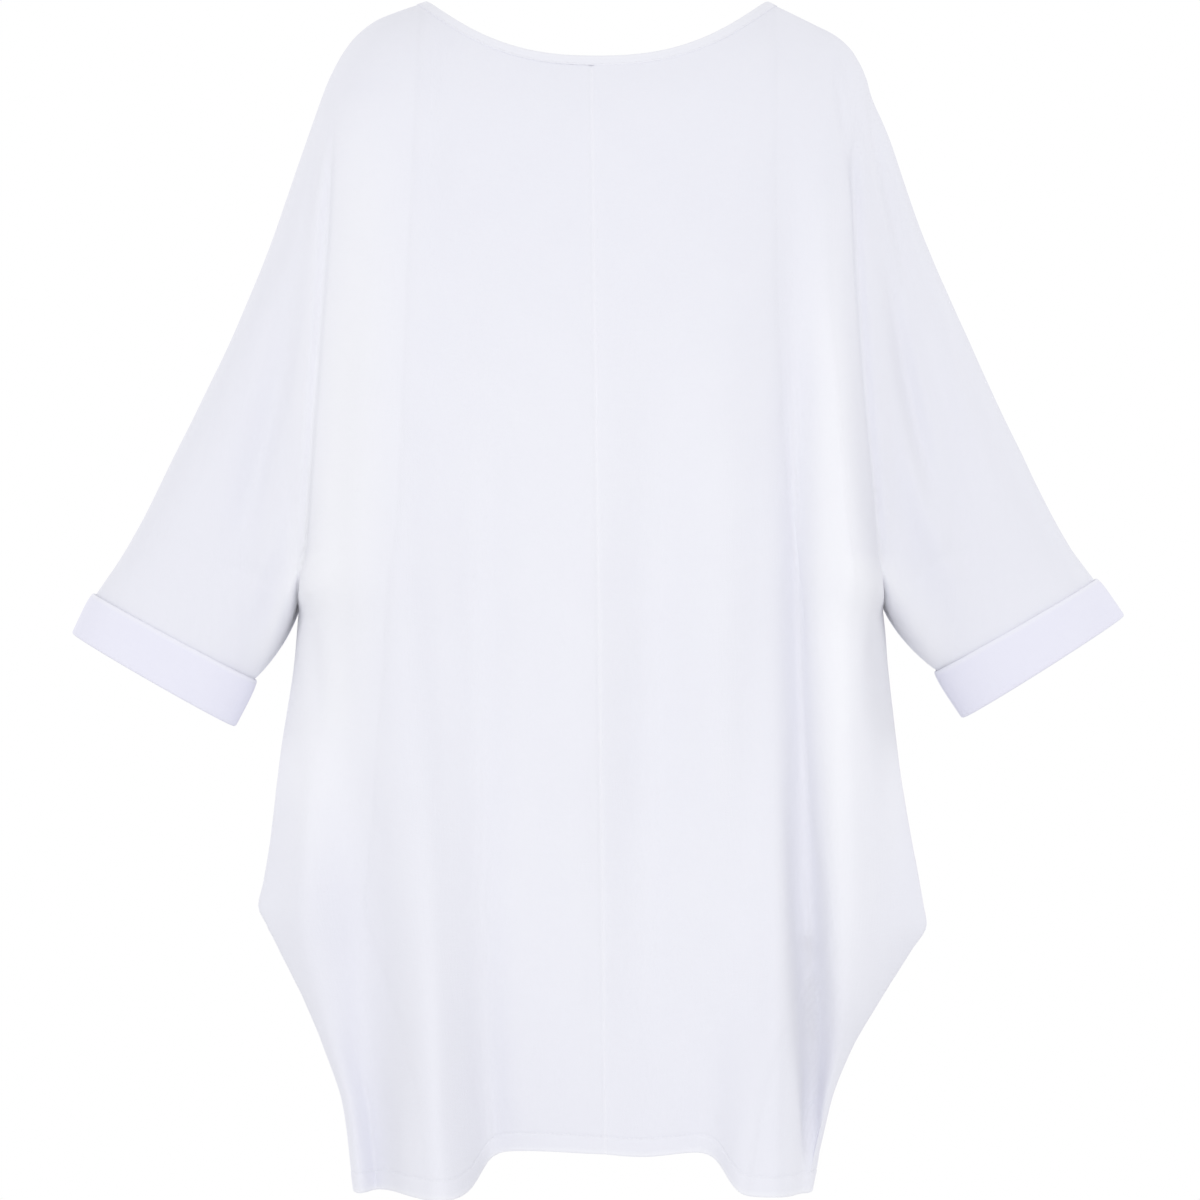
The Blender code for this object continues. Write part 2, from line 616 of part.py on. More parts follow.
def make_panel(name, side, face):
    """One panel: its body part and its half of the sleeve, in one wall."""
    body = body_grid(side, face)
    row_count, column_count = body.shape[:2]
    sleeve = sleeve_grid(side, face, body[:ARMPIT_ROW + 1, -1])
    points = np.concatenate([body.reshape(-1, 3), sleeve.reshape(-1, 3)])
    body_numbers = np.arange(row_count * column_count).reshape(row_count, column_count)
    sleeve_numbers = np.arange(sleeve[..., 0].size).reshape(sleeve.shape[:2]) + body_numbers.size
    sleeve_numbers = np.concatenate([body_numbers[None, :ARMPIT_ROW + 1, -1], sleeve_numbers])
    triangles = grid_triangles(points, body_numbers)
    triangles += grid_triangles(points, sleeve_numbers.T)
    if side * face < 0:
        triangles = [(c, b, a) for a, b, c in triangles]
    normals = sheet_normals(points, triangles)

    middle = -side_forward(-points[:, 2])
    for along, row in zip(SLEEVE_ROW_SHARES + (1.0,), sleeve_numbers[1:]):
        middle[row] = -CUFF_FORWARD * along ** 2
    inner = points - PANEL_WALL * normals
    keep_clear = (inner[:, 1] - middle) * face < LEAST_INSIDE
    inner[keep_clear, 1] = middle[keep_clear] + face * LEAST_INSIDE

    neck_columns = NECK_COLUMNS + 1
    seam = list(body_numbers[0, neck_columns - 1:]) + list(body_numbers[ARMPIT_ROW:, -1])
    seam += list(sleeve_numbers[1:, 0]) + list(sleeve_numbers[1:, -1])
    for number in seam:
        in_plane = normals[number][[0, 2]]
        lean = np.linalg.norm(in_plane)
        cut = PANEL_WALL / max(lean, LEAST_SEAM_LEAN)
        if number == body_numbers[ARMPIT_ROW, -1]:
            cut = PANEL_WALL * ARMPIT_CUT
        inner[number, [0, 2]] = points[number, [0, 2]] - in_plane / lean * cut
        inner[number, 1] = points[number, 1]
    for number in body_numbers[:, 0]:
        in_plane = normals[number][[1, 2]]
        in_plane = in_plane / np.linalg.norm(in_plane)
        inner[number, [1, 2]] = points[number, [1, 2]] - in_plane * PANEL_WALL
        inner[number, 0] = points[number, 0]

    shift = np.array([side, face, 0]) * SEAM_GAP / 2
    return close_wall(name, points + shift, inner + shift, triangles)


def make_binding(name):
    """The narrow strip round the neck, one ring made from the panels' neck points."""
    places = [(RIGHT, FRONT, i) for i in range(NECK_COLUMNS, 0, -1)]
    places += [(LEFT, FRONT, i) for i in range(NECK_COLUMNS + 1)]
    places += [(LEFT, BACK, i) for i in range(NECK_COLUMNS - 1, 0, -1)]
    places += [(RIGHT, BACK, i) for i in range(NECK_COLUMNS)]
    panel_edge = BINDING_WIDTH / (BINDING_WIDTH + SEAM_GAP)
    loops = []
    for reach in (0.0, panel_edge):
        loop = []
        for side, face, i in places:
            drift = CENTRE_SEAM_TOP_X * (1 - i / NECK_COLUMNS)
            x = side * neck_end(reach) * i / NECK_COLUMNS + drift
            down = neck_down(side, face, x, reach)
            share = abs(x) / half_width(side, down)
            loop.append((x, face * body_depth(side, face, x, share, down), -down))
        loops.append(loop)
    points = np.array(loops).reshape(-1, 3)
    count = len(places)
    triangles = []
    for i in range(count):
        after = (i + 1) % count
        triangles += split_quad(points, (i, i + count, after + count, after))
    normals = sheet_normals(points, triangles)
    outer = points + BINDING_PROUD * normals
    inner = outer - BINDING_WALL * normals
    return close_wall(name, outer, inner, triangles)


def cuff_ring(side, out, up):
    """A ring of points round the sleeve's end, moved out from it, at a height of the cuff."""
    inner, outer = sleeve_end_edge(side, up)
    places = even_oval_places(ARMPIT_ROW + 1)
    ring = [(place, FRONT) for place in places] + [(place, BACK) for place in places[-2:0:-1]]
    length = np.linalg.norm(outer - inner)
    flat = np.array([
        ((place - 0.5) * length, face * CUFF_HALF_DEPTH * oval_share(place, 0.5))
        for place, face in ring
    ])
    ahead = np.roll(flat, -1, axis=0) - flat
    ahead = ahead / np.linalg.norm(ahead, axis=1)[:, None]
    faces_out = np.stack([ahead[:, 1], -ahead[:, 0]], axis=1)
    if (faces_out * flat).sum() < 0:
        faces_out = -faces_out
    faces_before = np.roll(faces_out, 1, axis=0)
    miter = (faces_out + faces_before) / (1 + (faces_out * faces_before).sum(axis=1))[:, None]
    moved = flat + miter * out
    plan = (inner + outer) / 2 + moved[:, :1] * (outer - inner) / length
    return np.stack([plan[:, 0], moved[:, 1] - CUFF_FORWARD, plan[:, 1]], axis=1)


def make_cuff(name, side):
    """A cuff folded up round the sleeve's end: a band with a lip under the sleeve's edge."""
    stand = CUFF_CLEARANCE + CUFF_WALL
    rounded = CUFF_EDGE_ROUND
    inside = -PANEL_WALL - SEAM_GAP
    section = (
        (CUFF_CLEARANCE + CUFF_FLARE, CUFF_HEIGHT),
        (CUFF_CLEARANCE, CUFF_LIP),
        (inside, CUFF_LIP),
        (inside, rounded),
        (inside + rounded, 0.0),
        (stand - rounded, 0.0),
        (stand, rounded),
        (stand + CUFF_FLARE, CUFF_HEIGHT - rounded),
        (stand + CUFF_FLARE - rounded, CUFF_HEIGHT),
    )
    points = np.concatenate([cuff_ring(side, out, up) for out, up in section])
    count = len(points) // len(section)
    triangles = []
    for level in range(len(section)):
        above = level * count
        below = (level + 1) % len(section) * count
        for i in range(count):
            after = (i + 1) % count
            quad = (above + i, above + after, below + after, below + i)
            triangles += split_quad(points, quad)
    return make_object(name, points, triangles)


for old in list(bpy.data.objects):
    bpy.data.objects.remove(old, do_unlink=True)

make_panel("front_right", RIGHT, FRONT)
make_panel("front_left", LEFT, FRONT)
make_panel("back_right", RIGHT, BACK)
make_panel("back_left", LEFT, BACK)
make_binding("neck_binding")
make_cuff("cuff_right", RIGHT)
make_cuff("cuff_left", LEFT)
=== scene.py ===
# %% [markdown]
# # A white kimono top, as worn
#
# A kimono top has no set-in sleeves. Body and sleeves are cut in one piece, so each panel
# runs from the centre seam out to the cuff. Here the top keeps the hollow form that it has
# when it is worn.
#
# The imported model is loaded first. It fixes the size and place of every piece: the front
# faces -Y, the left side as worn is at +X, and the origin lies between the two neck points.

# %% Load the frame
import math

import bpy
import numpy as np
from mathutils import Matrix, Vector, noise


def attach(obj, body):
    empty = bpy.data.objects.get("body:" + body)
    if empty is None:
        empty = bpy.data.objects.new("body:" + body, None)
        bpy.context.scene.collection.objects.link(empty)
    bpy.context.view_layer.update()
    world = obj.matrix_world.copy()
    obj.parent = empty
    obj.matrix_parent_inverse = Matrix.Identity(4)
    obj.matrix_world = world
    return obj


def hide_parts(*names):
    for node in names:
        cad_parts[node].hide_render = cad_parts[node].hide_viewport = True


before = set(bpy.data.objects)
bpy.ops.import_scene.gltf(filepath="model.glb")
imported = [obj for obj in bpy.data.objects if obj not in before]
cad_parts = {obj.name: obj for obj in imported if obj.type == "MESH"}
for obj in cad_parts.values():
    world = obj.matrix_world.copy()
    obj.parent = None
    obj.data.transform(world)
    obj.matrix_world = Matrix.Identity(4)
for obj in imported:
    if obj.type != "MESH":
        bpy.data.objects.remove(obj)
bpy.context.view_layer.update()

bpy.ops.object.select_all(action="DESELECT")
print("nodes:", sorted(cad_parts))

# %% [markdown]
# ## Camera
#
# The photograph looks straight at the front from a few metres away, at half the garment's
# height. A long lens keeps the proportions flat, as in a catalogue picture. The camera is
# turned as it is added, so that it looks along +Y.

# %% Camera
PICTURE_WIDTH = 0.96
VIEW_CENTRE = (0.0024, 0.0, -0.4776)
VIEW_DISTANCE = 3.5
SENSOR = 36.0

bpy.ops.object.camera_add(
    location=(VIEW_CENTRE[0], -VIEW_DISTANCE, VIEW_CENTRE[2]),
    rotation=(math.radians(90), 0, 0),
)
camera = bpy.context.object
camera.name = "photo_camera"
camera.data.sensor_width = SENSOR
camera.data.lens = SENSOR * VIEW_DISTANCE / PICTURE_WIDTH
bpy.context.scene.camera = camera
print("lens:", round(camera.data.lens, 1), "mm")

# %% [markdown]
# ## Floor and light
#
# White cloth on a white ground needs soft, even light. A white world lights everything evenly
# and is also the picture's ground: the camera sees it at full strength, but it lights the
# cloth a little less, so that the cloth stays darker than the ground. A large panel of light
# stands high behind the camera, a weak one on the viewer's left draws the folds, and two
# behind the garment keep both its edges bright. The floor is a plain pale disc well under the
# hem, below the picture's edge.

# %% Floor, world and lights
FLOOR_DOWN = 1.42
FLOOR_RADIUS = 1.7
FLOOR_CORNERS = 96
FLOOR_COLOUR = (0.86, 0.86, 0.87, 1)
FLOOR_ROUGHNESS = 0.9
WORLD_SEEN = 1.0
WORLD_LIGHT = 0.82
KEY_LIGHT = {"at": (-4.7, -2.7, -0.2), "size": 2.2, "power": 14.0}
FRONT_LIGHT = {"at": (0.3, -4.6, 0.7), "size": 2.5, "power": 54.0}
EDGE_LIGHT_RIGHT = {"at": (-3.1, 2.8, 0.5), "size": 2.0, "power": 36.0}
EDGE_LIGHT_LEFT = {"at": (3.9, 1.7, 1.0), "size": 2.0, "power": 30.0}


def studio_light(name, light):
    """A square panel of soft white light, aimed at the middle of the garment."""
    place = Vector(light["at"])
    aim = (Vector(VIEW_CENTRE) - place).to_track_quat("-Z", "Y").to_euler()
    bpy.ops.object.light_add(type="AREA", location=place, rotation=aim)
    lamp = bpy.context.object
    lamp.name = name
    lamp.data.shape = "SQUARE"
    lamp.data.size = light["size"]
    lamp.data.energy = light["power"]


def node_material(name):
    """A new material, with the shader that gives it its looks."""
    material = bpy.data.materials.new(name)
    material.use_nodes = True
    return material, material.node_tree.nodes["Principled BSDF"]


bpy.ops.mesh.primitive_circle_add(
    vertices=FLOOR_CORNERS, radius=FLOOR_RADIUS, fill_type="NGON", location=(0, 0, -FLOOR_DOWN)
)
floor = bpy.context.object
floor.name = "studio_floor"
bpy.ops.object.transform_apply(location=True, rotation=True, scale=True)
floor_paint, floor_shader = node_material("pale_floor")
floor_shader.inputs["Base Color"].default_value = FLOOR_COLOUR
floor_shader.inputs["Roughness"].default_value = FLOOR_ROUGHNESS
floor.data.materials.append(floor_paint)

world = bpy.data.worlds.new("white_studio")
bpy.context.scene.world = world
world.use_nodes = True
white_ground = world.node_tree.nodes["Background"]
white_ground.inputs["Color"].default_value = (1, 1, 1, 1)
rays = world.node_tree.nodes.new("ShaderNodeLightPath")
strength = world.node_tree.nodes.new("ShaderNodeMath")
strength.operation = "MULTIPLY_ADD"
strength.inputs[1].default_value = WORLD_SEEN - WORLD_LIGHT
strength.inputs[2].default_value = WORLD_LIGHT
world.node_tree.links.new(rays.outputs["Is Camera Ray"], strength.inputs[0])
world.node_tree.links.new(strength.outputs["Value"], white_ground.inputs["Strength"])
bpy.context.scene.view_settings.view_transform = "Standard"
studio_light("key_light", KEY_LIGHT)
studio_light("front_light", FRONT_LIGHT)
studio_light("edge_light_right", EDGE_LIGHT_RIGHT)
studio_light("edge_light_left", EDGE_LIGHT_LEFT)
print("floor at", -FLOOR_DOWN)

# %% [markdown]
# ## Cloth finish
#
# The cloth is a light, matt white weave with a faint lilac tint and a few thicker threads. A
# picture could give such a pattern, but noise made by nodes is sharp at any size. Each piece
# carries a map in metres, so that threads run along the cut and keep their real width. Where
# the cloth lies double, at hems and seam allowances, less shows through and it looks whiter.
# The same whiter, less lilac colour is also painted on as light: a paler middle of the body,
# painted highlights along the side folds and the seam lines, and paler colour over the shade
# under the arms. A point attribute holds how much of it each point gets. The cuffs look a
# little more lilac. Blender's Mix node has sockets of one name for numbers and for colours, so
# the colours' are picked by number.

# %% Cloth material
SINGLE_COLOUR = (0.782, 0.786, 0.852, 1)
# the colour of doubled cloth, also painted on as light
DOUBLED_AND_PAINTED_LIGHT_COLOUR = (0.858, 0.862, 0.905, 1)
CUFF_COLOUR = (0.768, 0.766, 0.878, 1)
THREADS_PER_METRE = 2200
SLUBS_ACROSS = 520
SLUBS_ALONG = 60
SLUB_SHARE = 0.6
MOTTLE_SCALE = 26
GRAIN_TINT = 0.16
GRAIN_MIDDLE = 1.1
MOTTLE_TINT = 0.2
CLOTH_ROUGHNESS = 0.72
GRAIN_ROUGHNESS = 0.12
GRAIN_BUMP = 0.45
GRAIN_HEIGHT = 0.00025
SHEEN = 0.12
SHEEN_ROUGHNESS = 0.6
SHINE = 0.22
MIX_SHARE, MIX_FIRST, MIX_SECOND, MIX_RESULT = 0, 6, 7, 2


def stretched_noise(nodes, links, source, scale, detail=2.0):
    """Noise on the cloth's own map, with its own scale along U and V."""
    mapping = nodes.new("ShaderNodeMapping")
    mapping.inputs["Scale"].default_value = (scale[0], scale[1], 1)
    pattern = nodes.new("ShaderNodeTexNoise")
    pattern.inputs["Scale"].default_value = 1.0
    pattern.inputs["Detail"].default_value = detail
    links.new(source, mapping.inputs["Vector"])
    links.new(mapping.outputs["Vector"], pattern.inputs["Vector"])
    return pattern.outputs["Fac"]


def join(nodes, links, operation, *values):
    """A maths node on sockets or numbers."""
    node = nodes.new("ShaderNodeMath")
    node.operation = operation
    for socket, value in zip(node.inputs, values):
        if isinstance(value, (int, float)):
            socket.default_value = value
        else:
            links.new(value, socket)
    return node.outputs["Value"]


def weave_material(name, single, doubled_and_painted_light, turned=0.0):
    """White woven cloth. The weave is turned by an angle for a strip cut on the bias."""
    material, shader = node_material(name)
    nodes = material.node_tree.nodes
    links = material.node_tree.links
    shader.inputs["Sheen Weight"].default_value = SHEEN
    shader.inputs["Sheen Roughness"].default_value = SHEEN_ROUGHNESS
    shader.inputs["Specular IOR Level"].default_value = SHINE

    cloth_map = nodes.new("ShaderNodeUVMap")
    turn = nodes.new("ShaderNodeMapping")
    turn.inputs["Rotation"].default_value = (0, 0, turned)
    links.new(cloth_map.outputs["UV"], turn.inputs["Vector"])
    on_cloth = turn.outputs["Vector"]

    warp_slubs = stretched_noise(nodes, links, on_cloth, (SLUBS_ACROSS, SLUBS_ALONG))
    weft_slubs = stretched_noise(nodes, links, on_cloth, (SLUBS_ALONG, SLUBS_ACROSS))
    threads = stretched_noise(nodes, links, on_cloth, (THREADS_PER_METRE,) * 2, detail=1.0)
    mottle = stretched_noise(nodes, links, on_cloth, (MOTTLE_SCALE,) * 2)
    slubs = join(nodes, links, "ADD", warp_slubs, weft_slubs)
    grain = join(nodes, links, "ADD", join(nodes, links, "MULTIPLY", slubs, SLUB_SHARE), threads)

    # share of the whiter colour: doubled cloth, and on the panels painted light as well
    layers_and_painted_light = nodes.new("ShaderNodeAttribute")
    layers_and_painted_light.attribute_name = "layers_and_painted_light"
    shade = join(nodes, links, "MULTIPLY_ADD", grain, GRAIN_TINT, -GRAIN_TINT * GRAIN_MIDDLE)
    shade = join(nodes, links, "ADD", shade, join(nodes, links, "MULTIPLY", mottle, MOTTLE_TINT))
    shade = join(nodes, links, "ADD", shade, layers_and_painted_light.outputs["Fac"])
    colour = nodes.new("ShaderNodeMix")
    colour.data_type = "RGBA"
    colour.inputs[MIX_FIRST].default_value = single
    colour.inputs[MIX_SECOND].default_value = doubled_and_painted_light
    links.new(shade, colour.inputs[MIX_SHARE])
    links.new(colour.outputs[MIX_RESULT], shader.inputs["Base Color"])

    roughness = join(nodes, links, "MULTIPLY_ADD", grain, GRAIN_ROUGHNESS, CLOTH_ROUGHNESS)
    links.new(roughness, shader.inputs["Roughness"])

    bump = nodes.new("ShaderNodeBump")
    bump.inputs["Strength"].default_value = GRAIN_BUMP
    bump.inputs["Distance"].default_value = GRAIN_HEIGHT
    links.new(grain, bump.inputs["Height"])
    links.new(bump.outputs["Normal"], shader.inputs["Normal"])
    return material


cloth = weave_material("white_cloth", SINGLE_COLOUR, DOUBLED_AND_PAINTED_LIGHT_COLOUR)
cuff_cloth = weave_material("white_cuff_cloth", CUFF_COLOUR, DOUBLED_AND_PAINTED_LIGHT_COLOUR)
binding_cloth = weave_material("white_bias_cloth", SINGLE_COLOUR, DOUBLED_AND_PAINTED_LIGHT_COLOUR, math.radians(45))
print("materials:", cloth.name, cuff_cloth.name, binding_cloth.name)

# %% [markdown]
# ## Sizes, level by level
#
# A worn garment is easiest to shape as a tailor measures it: at each level from the neck down,
# how far the cloth reaches to each side, and how far to the front and the back. The tables
# repeat the model's own values, so that the fine cloth lies on the form of the solids. A
# smooth curve is read between the rows.

# %% Reading a table
FRONT, BACK = -1, 1
RIGHT, LEFT = -1, 1


def named_rows(columns, rows):
    """Rows of a table as dictionaries."""
    return [dict(zip(columns, row)) for row in rows]


def table_column(rows, columns, name):
    """One named column of a table."""
    place = columns.index(name)
    return np.array([row[place] for row in rows])


def smooth_read(levels, values, at):
    """Values between a table's rows, along a smooth curve that never overshoots them."""
    steps = np.diff(levels)
    rates = np.diff(values) / steps
    slopes = np.zeros(len(values))
    slopes[0] = rates[0]
    slopes[-1] = rates[-1]
    for i in range(1, len(values) - 1):
        before, after = rates[i - 1], rates[i]
        if before * after > 0:
            slopes[i] = 2 * before * after / (before + after)
    at = np.clip(at, levels[0], levels[-1])
    row = np.clip(np.searchsorted(levels, at, side="right") - 1, 0, len(steps) - 1)
    step = steps[row]
    part = (at - levels[row]) / step
    return (
        (1 + 2 * part) * (1 - part) ** 2 * values[row]
        + part ** 2 * (3 - 2 * part) * values[row + 1]
        + part * (1 - part) ** 2 * step * slopes[row]
        + part ** 2 * (part - 1) * step * slopes[row + 1]
    )


def read_table(rows, columns, name, at):
    """A named column between its rows. The first column holds the level of each row."""
    levels = table_column(rows, columns, columns[0])
    return smooth_read(levels, table_column(rows, columns, name), at)


def between(first, last, part):
    """A value that lies part of the way from the first to the last."""
    return first + (last - first) * part


def ease(part):
    """A soft step from 0 to 1."""
    part = np.clip(part, 0.0, 1.0)
    return part * part * (3 - 2 * part)


print("a soft step, a quarter of the way:", float(ease(0.25)))

# %% Body sizes
BODY_COLUMNS = ("down", "right", "left", "front", "back", "shape", "edge")
BODY_LEVELS = (
    (0.000, 0.2056, 0.2040, 0.0980, 0.0900, 2.5, 0.80),
    (0.060, 0.2056, 0.2040, 0.1050, 0.1010, 2.5, 0.85),
    (0.120, 0.2080, 0.2020, 0.1170, 0.1110, 2.6, 0.88),
    (0.220, 0.2140, 0.2025, 0.1290, 0.1200, 2.7, 0.86),
    (0.320, 0.2190, 0.2080, 0.1340, 0.1230, 2.8, 0.84),
    (0.400, 0.2235, 0.2140, 0.1350, 0.1240, 2.9, 0.66),
    (0.483, 0.2376, 0.2280, 0.1360, 0.1240, 3.1, 0.42),
    (0.530, 0.2416, 0.2321, 0.1360, 0.1240, 3.1, 0.42),
    (0.599, 0.2501, 0.2378, 0.1360, 0.1250, 3.0, 0.48),
    (0.656, 0.2557, 0.2458, 0.1360, 0.1260, 2.8, 0.62),
    (0.696, 0.2614, 0.2530, 0.1370, 0.1270, 2.7, 0.78),
    (0.717, 0.2656, 0.2562, 0.1380, 0.1280, 2.6, 0.84),
    (0.731, 0.2596, 0.2587, 0.1380, 0.1280, 2.6, 0.84),
    (0.752, 0.2490, 0.2465, 0.1390, 0.1290, 2.6, 0.80),
    (0.792, 0.2291, 0.2212, 0.1410, 0.1310, 2.8, 0.66),
    (0.831, 0.2132, 0.1990, 0.1420, 0.1320, 3.0, 0.58),
    (0.872, 0.1997, 0.1836, 0.1430, 0.1330, 3.3, 0.52),
    (0.940, 0.1908, 0.1706, 0.1430, 0.1340, 3.8, 0.40),
)
ARMPIT_DOWN = 0.483
WING_TIP_DOWN = {RIGHT: 0.717, LEFT: 0.731}
SIDE_HEM_DOWN = 0.940
HEM_DOWN = {FRONT: 0.9370, BACK: 0.9320}
CENTRE_SEAM_TOP_X = -0.005
CENTRE_SEAM_HEM_X = 0.007
TURN_HEIGHT_CENTRE = 0.140
TURN_HEIGHT_EDGE = 0.090


def body_value(name, down):
    """A column of the body table at a distance below the neck points."""
    return read_table(BODY_LEVELS, BODY_COLUMNS, name, down)


def half_width(side, down):
    """Half width of the body on one side."""
    return body_value("right" if side == RIGHT else "left", down)


widest = sum(half_width(side, down) for side, down in WING_TIP_DOWN.items())
print("body length:", SIDE_HEM_DOWN, "m; widest:", round(float(widest), 4), "m")

# %% [markdown]
# ## Neck, shoulder seam and sleeve line
#
# The boat neck is a shallow curve between the two neck points. From there the shoulder seam
# runs out, bends over the shoulder and goes on as the overarm seam to the cuff. These curves
# are all that the panels share, so they come before any cloth.

# %% Neck and overarm seam
NECK_HALF_WIDTH = 0.136
NECK_DROP = {FRONT: 0.0530, BACK: 0.0410}
NECK_CURVE = {FRONT: 2.5, BACK: 2.3}
NECK_ROOT_RISE = 0.012
BINDING_WIDTH = 0.008
OVERARM_COLUMNS = ("right_x", "right_down", "left_x", "left_down")
OVERARM_POINTS = (
    (0.1360, 0.0000, 0.1360, 0.0000),
    (0.1560, 0.0066, 0.1560, 0.0095),
    (0.1752, 0.0140, 0.1752, 0.0188),
    (0.1900, 0.0248, 0.1896, 0.0262),
    (0.2040, 0.0424, 0.2030, 0.0385),
    (0.2136, 0.0616, 0.2105, 0.0520),
    (0.2192, 0.0776, 0.2192, 0.0776),
    (0.2328, 0.1176, 0.2340, 0.1176),
    (0.2606, 0.1976, 0.2636, 0.1976),
    (0.2934, 0.2776, 0.2986, 0.2776),
    (0.3328, 0.3576, 0.3358, 0.3576),
    (0.3742, 0.4376, 0.3748, 0.4340),
)


def overarm_points(side):
    """The overarm seam's points on one side, as distances out and down."""
    name = "right" if side == RIGHT else "left"
    out = table_column(OVERARM_POINTS, OVERARM_COLUMNS, name + "_x")
    return out, table_column(OVERARM_POINTS, OVERARM_COLUMNS, name + "_down")


def shoulder_down(side, out):
    """Height of the shoulder line, and of its bridge across the open neck."""
    seam_out, seam_down = overarm_points(side)
    bridge = -NECK_ROOT_RISE * (1 - np.clip(out / NECK_HALF_WIDTH, 0, 1) ** 2)
    return smooth_read(seam_out, seam_down, out) + bridge


def neck_end(reach):
    """Distance out to the end of the neck line, at the opening (0) or under the strip (1)."""
    return NECK_HALF_WIDTH + reach * BINDING_WIDTH


def neck_down(side, face, x, reach):
    """Height of the neck line at x."""
    end = neck_end(reach)
    end_down = shoulder_down(side, end)
    lowest = NECK_DROP[face] + reach * BINDING_WIDTH
    return between(end_down, lowest, 1 - np.clip(np.abs(x) / end, 0, 1) ** NECK_CURVE[face])


print("neck width:", 2 * NECK_HALF_WIDTH, "m")

# %% [markdown]
# ## The large folds
#
# Loose cloth hangs in a few large folds before it makes any small ones. Each is a soft ridge
# or trough along a line, and the front also hangs back between two tubes of cloth towards the
# hem. Between body and sleeve a deep fold runs from the shoulder to the armpit.

# %% Large folds
FOLD_DEPTH = {FRONT: 0.080, BACK: 0.074}
FOLD_CLOSES_FROM = 0.370
FOLD_SQUARE = 2.6
SIDE_SEAM_COLUMNS = ("down", "forward")
SIDE_SEAM_LEVELS = (
    (0.483, 0.000),
    (0.520, 0.008),
    (0.580, 0.036),
    (0.650, 0.063),
    (0.730, 0.078),
    (0.840, 0.070),
    (0.940, 0.058),
)
RECESS_TOP_DOWN = 0.360
RECESS_DEPTH = 0.045
RECESS_HEM_RISE = 0.032
RECESS_EDGES_TOP = (-0.128, 0.138)
RECESS_EDGES_HEM = (-0.088, 0.097)
RECESS_SOFTNESS_TOP = 0.045
RECESS_SOFTNESS_HEM = 0.011
RECESS_GROWTH = 1.8
SIDE_FADE = 0.18
FOLDS_END = 0.11
FOLD_COLUMNS = ("face", "top_x", "top_down", "low_x", "low_down", "width", "depth", "fades")
BODY_FOLDS = (
    (FRONT, 0.192, 0.020, 0.195, 0.880, 0.030, 0.034, 1),
    (FRONT, 0.150, 0.060, 0.166, 0.900, 0.013, -0.018, 0),
    (FRONT, 0.150, 0.120, 0.160, 0.760, 0.012, -0.008, 1),
    (FRONT, 0.156, 0.460, 0.175, 0.930, 0.014, -0.024, 0),
    (FRONT, 0.200, 0.040, 0.212, 0.860, 0.018, 0.014, 1),
    (FRONT, 0.134, 0.300, 0.146, 0.940, 0.018, 0.012, 0),
    (FRONT, 0.102, 0.160, 0.092, 0.920, 0.024, 0.010, 1),
    (FRONT, 0.046, 0.180, 0.036, 0.960, 0.022, -0.009, 1),
    (FRONT, -0.012, 0.180, -0.016, 0.960, 0.028, 0.009, 1),
    (FRONT, -0.088, 0.180, -0.092, 0.840, 0.022, -0.011, 1),
    (FRONT, -0.094, 0.500, -0.088, 0.940, 0.015, -0.014, 0),
    (FRONT, -0.166, 0.060, -0.154, 0.780, 0.028, 0.014, 1),
    (FRONT, -0.130, 0.460, -0.122, 0.940, 0.024, 0.018, 0),
    (FRONT, -0.190, 0.520, -0.172, 0.930, 0.024, -0.036, 0),
    (FRONT, -0.226, 0.520, -0.232, 0.860, 0.018, 0.010, 1),
    (FRONT, -0.126, 0.030, -0.128, 0.250, 0.014, -0.004, 1),
    (BACK, -0.135, 0.350, -0.150, 0.940, 0.030, 0.016, 0),
    (BACK, -0.070, 0.300, -0.066, 0.940, 0.028, -0.018, 0),
    (BACK, 0.015, 0.420, 0.004, 0.940, 0.034, 0.014, 0),
    (BACK, 0.092, 0.280, 0.084, 0.940, 0.026, -0.020, 0),
    (BACK, 0.150, 0.400, 0.146, 0.940, 0.026, 0.015, 0),
    (BACK, 0.184, 0.140, 0.196, 0.640, 0.020, 0.008, 1),
    (BACK, -0.182, 0.160, -0.198, 0.620, 0.020, 0.008, 1),
)


def fold_depth(face, down):
    """Depth of the fold between body and sleeve. It is nothing from the armpit down."""
    closed = (down - FOLD_CLOSES_FROM) / (ARMPIT_DOWN - FOLD_CLOSES_FROM)
    return FOLD_DEPTH[face] * (1 - np.clip(closed, 0, 1) ** FOLD_SQUARE) ** (1 / FOLD_SQUARE)


def side_forward(down):
    """How far the side seam lies in front of the middle of the sides."""
    return read_table(SIDE_SEAM_LEVELS, SIDE_SEAM_COLUMNS, "forward", down)


def recess_share(x, down):
    """How much of the front's recess a point has: 1 in its middle, 0 outside it."""
    low = np.clip((down - RECESS_TOP_DOWN) / (HEM_DOWN[FRONT] - RECESS_TOP_DOWN), 0, 1)
    edges = [between(top, hem, low) for top, hem in zip(RECESS_EDGES_TOP, RECESS_EDGES_HEM)]
    softness = between(RECESS_SOFTNESS_TOP, RECESS_SOFTNESS_HEM, low)
    inside = np.tanh((x - edges[0]) / softness) - np.tanh((x - edges[1]) / softness)
    return 0.5 * inside * low ** RECESS_GROWTH


def rows_of_face(face, columns, rows):
    """The rows of a table that belong to the front or to the back."""
    return [row for row in named_rows(columns, rows) if row["face"] == face]


def line_at(row, down):
    """How far down a row's line a level lies, from 0 to 1, and where the line is across."""
    along = np.clip((down - row["top_down"]) / (row["low_down"] - row["top_down"]), 0, 1)
    return along, between(row["top_x"], row["low_x"], along)


def body_folds(face, x, down):
    """Sum of the body's large folds at a point."""
    total = np.zeros(np.shape(x))
    for fold in rows_of_face(face, FOLD_COLUMNS, BODY_FOLDS):
        along, line_x = line_at(fold, down)
        strength = np.sin(math.pi * along) ** 2 if fold["fades"] else ease(along)
        total = total + fold["depth"] * strength * np.exp(-((x - line_x) / fold["width"]) ** 2)
    return total


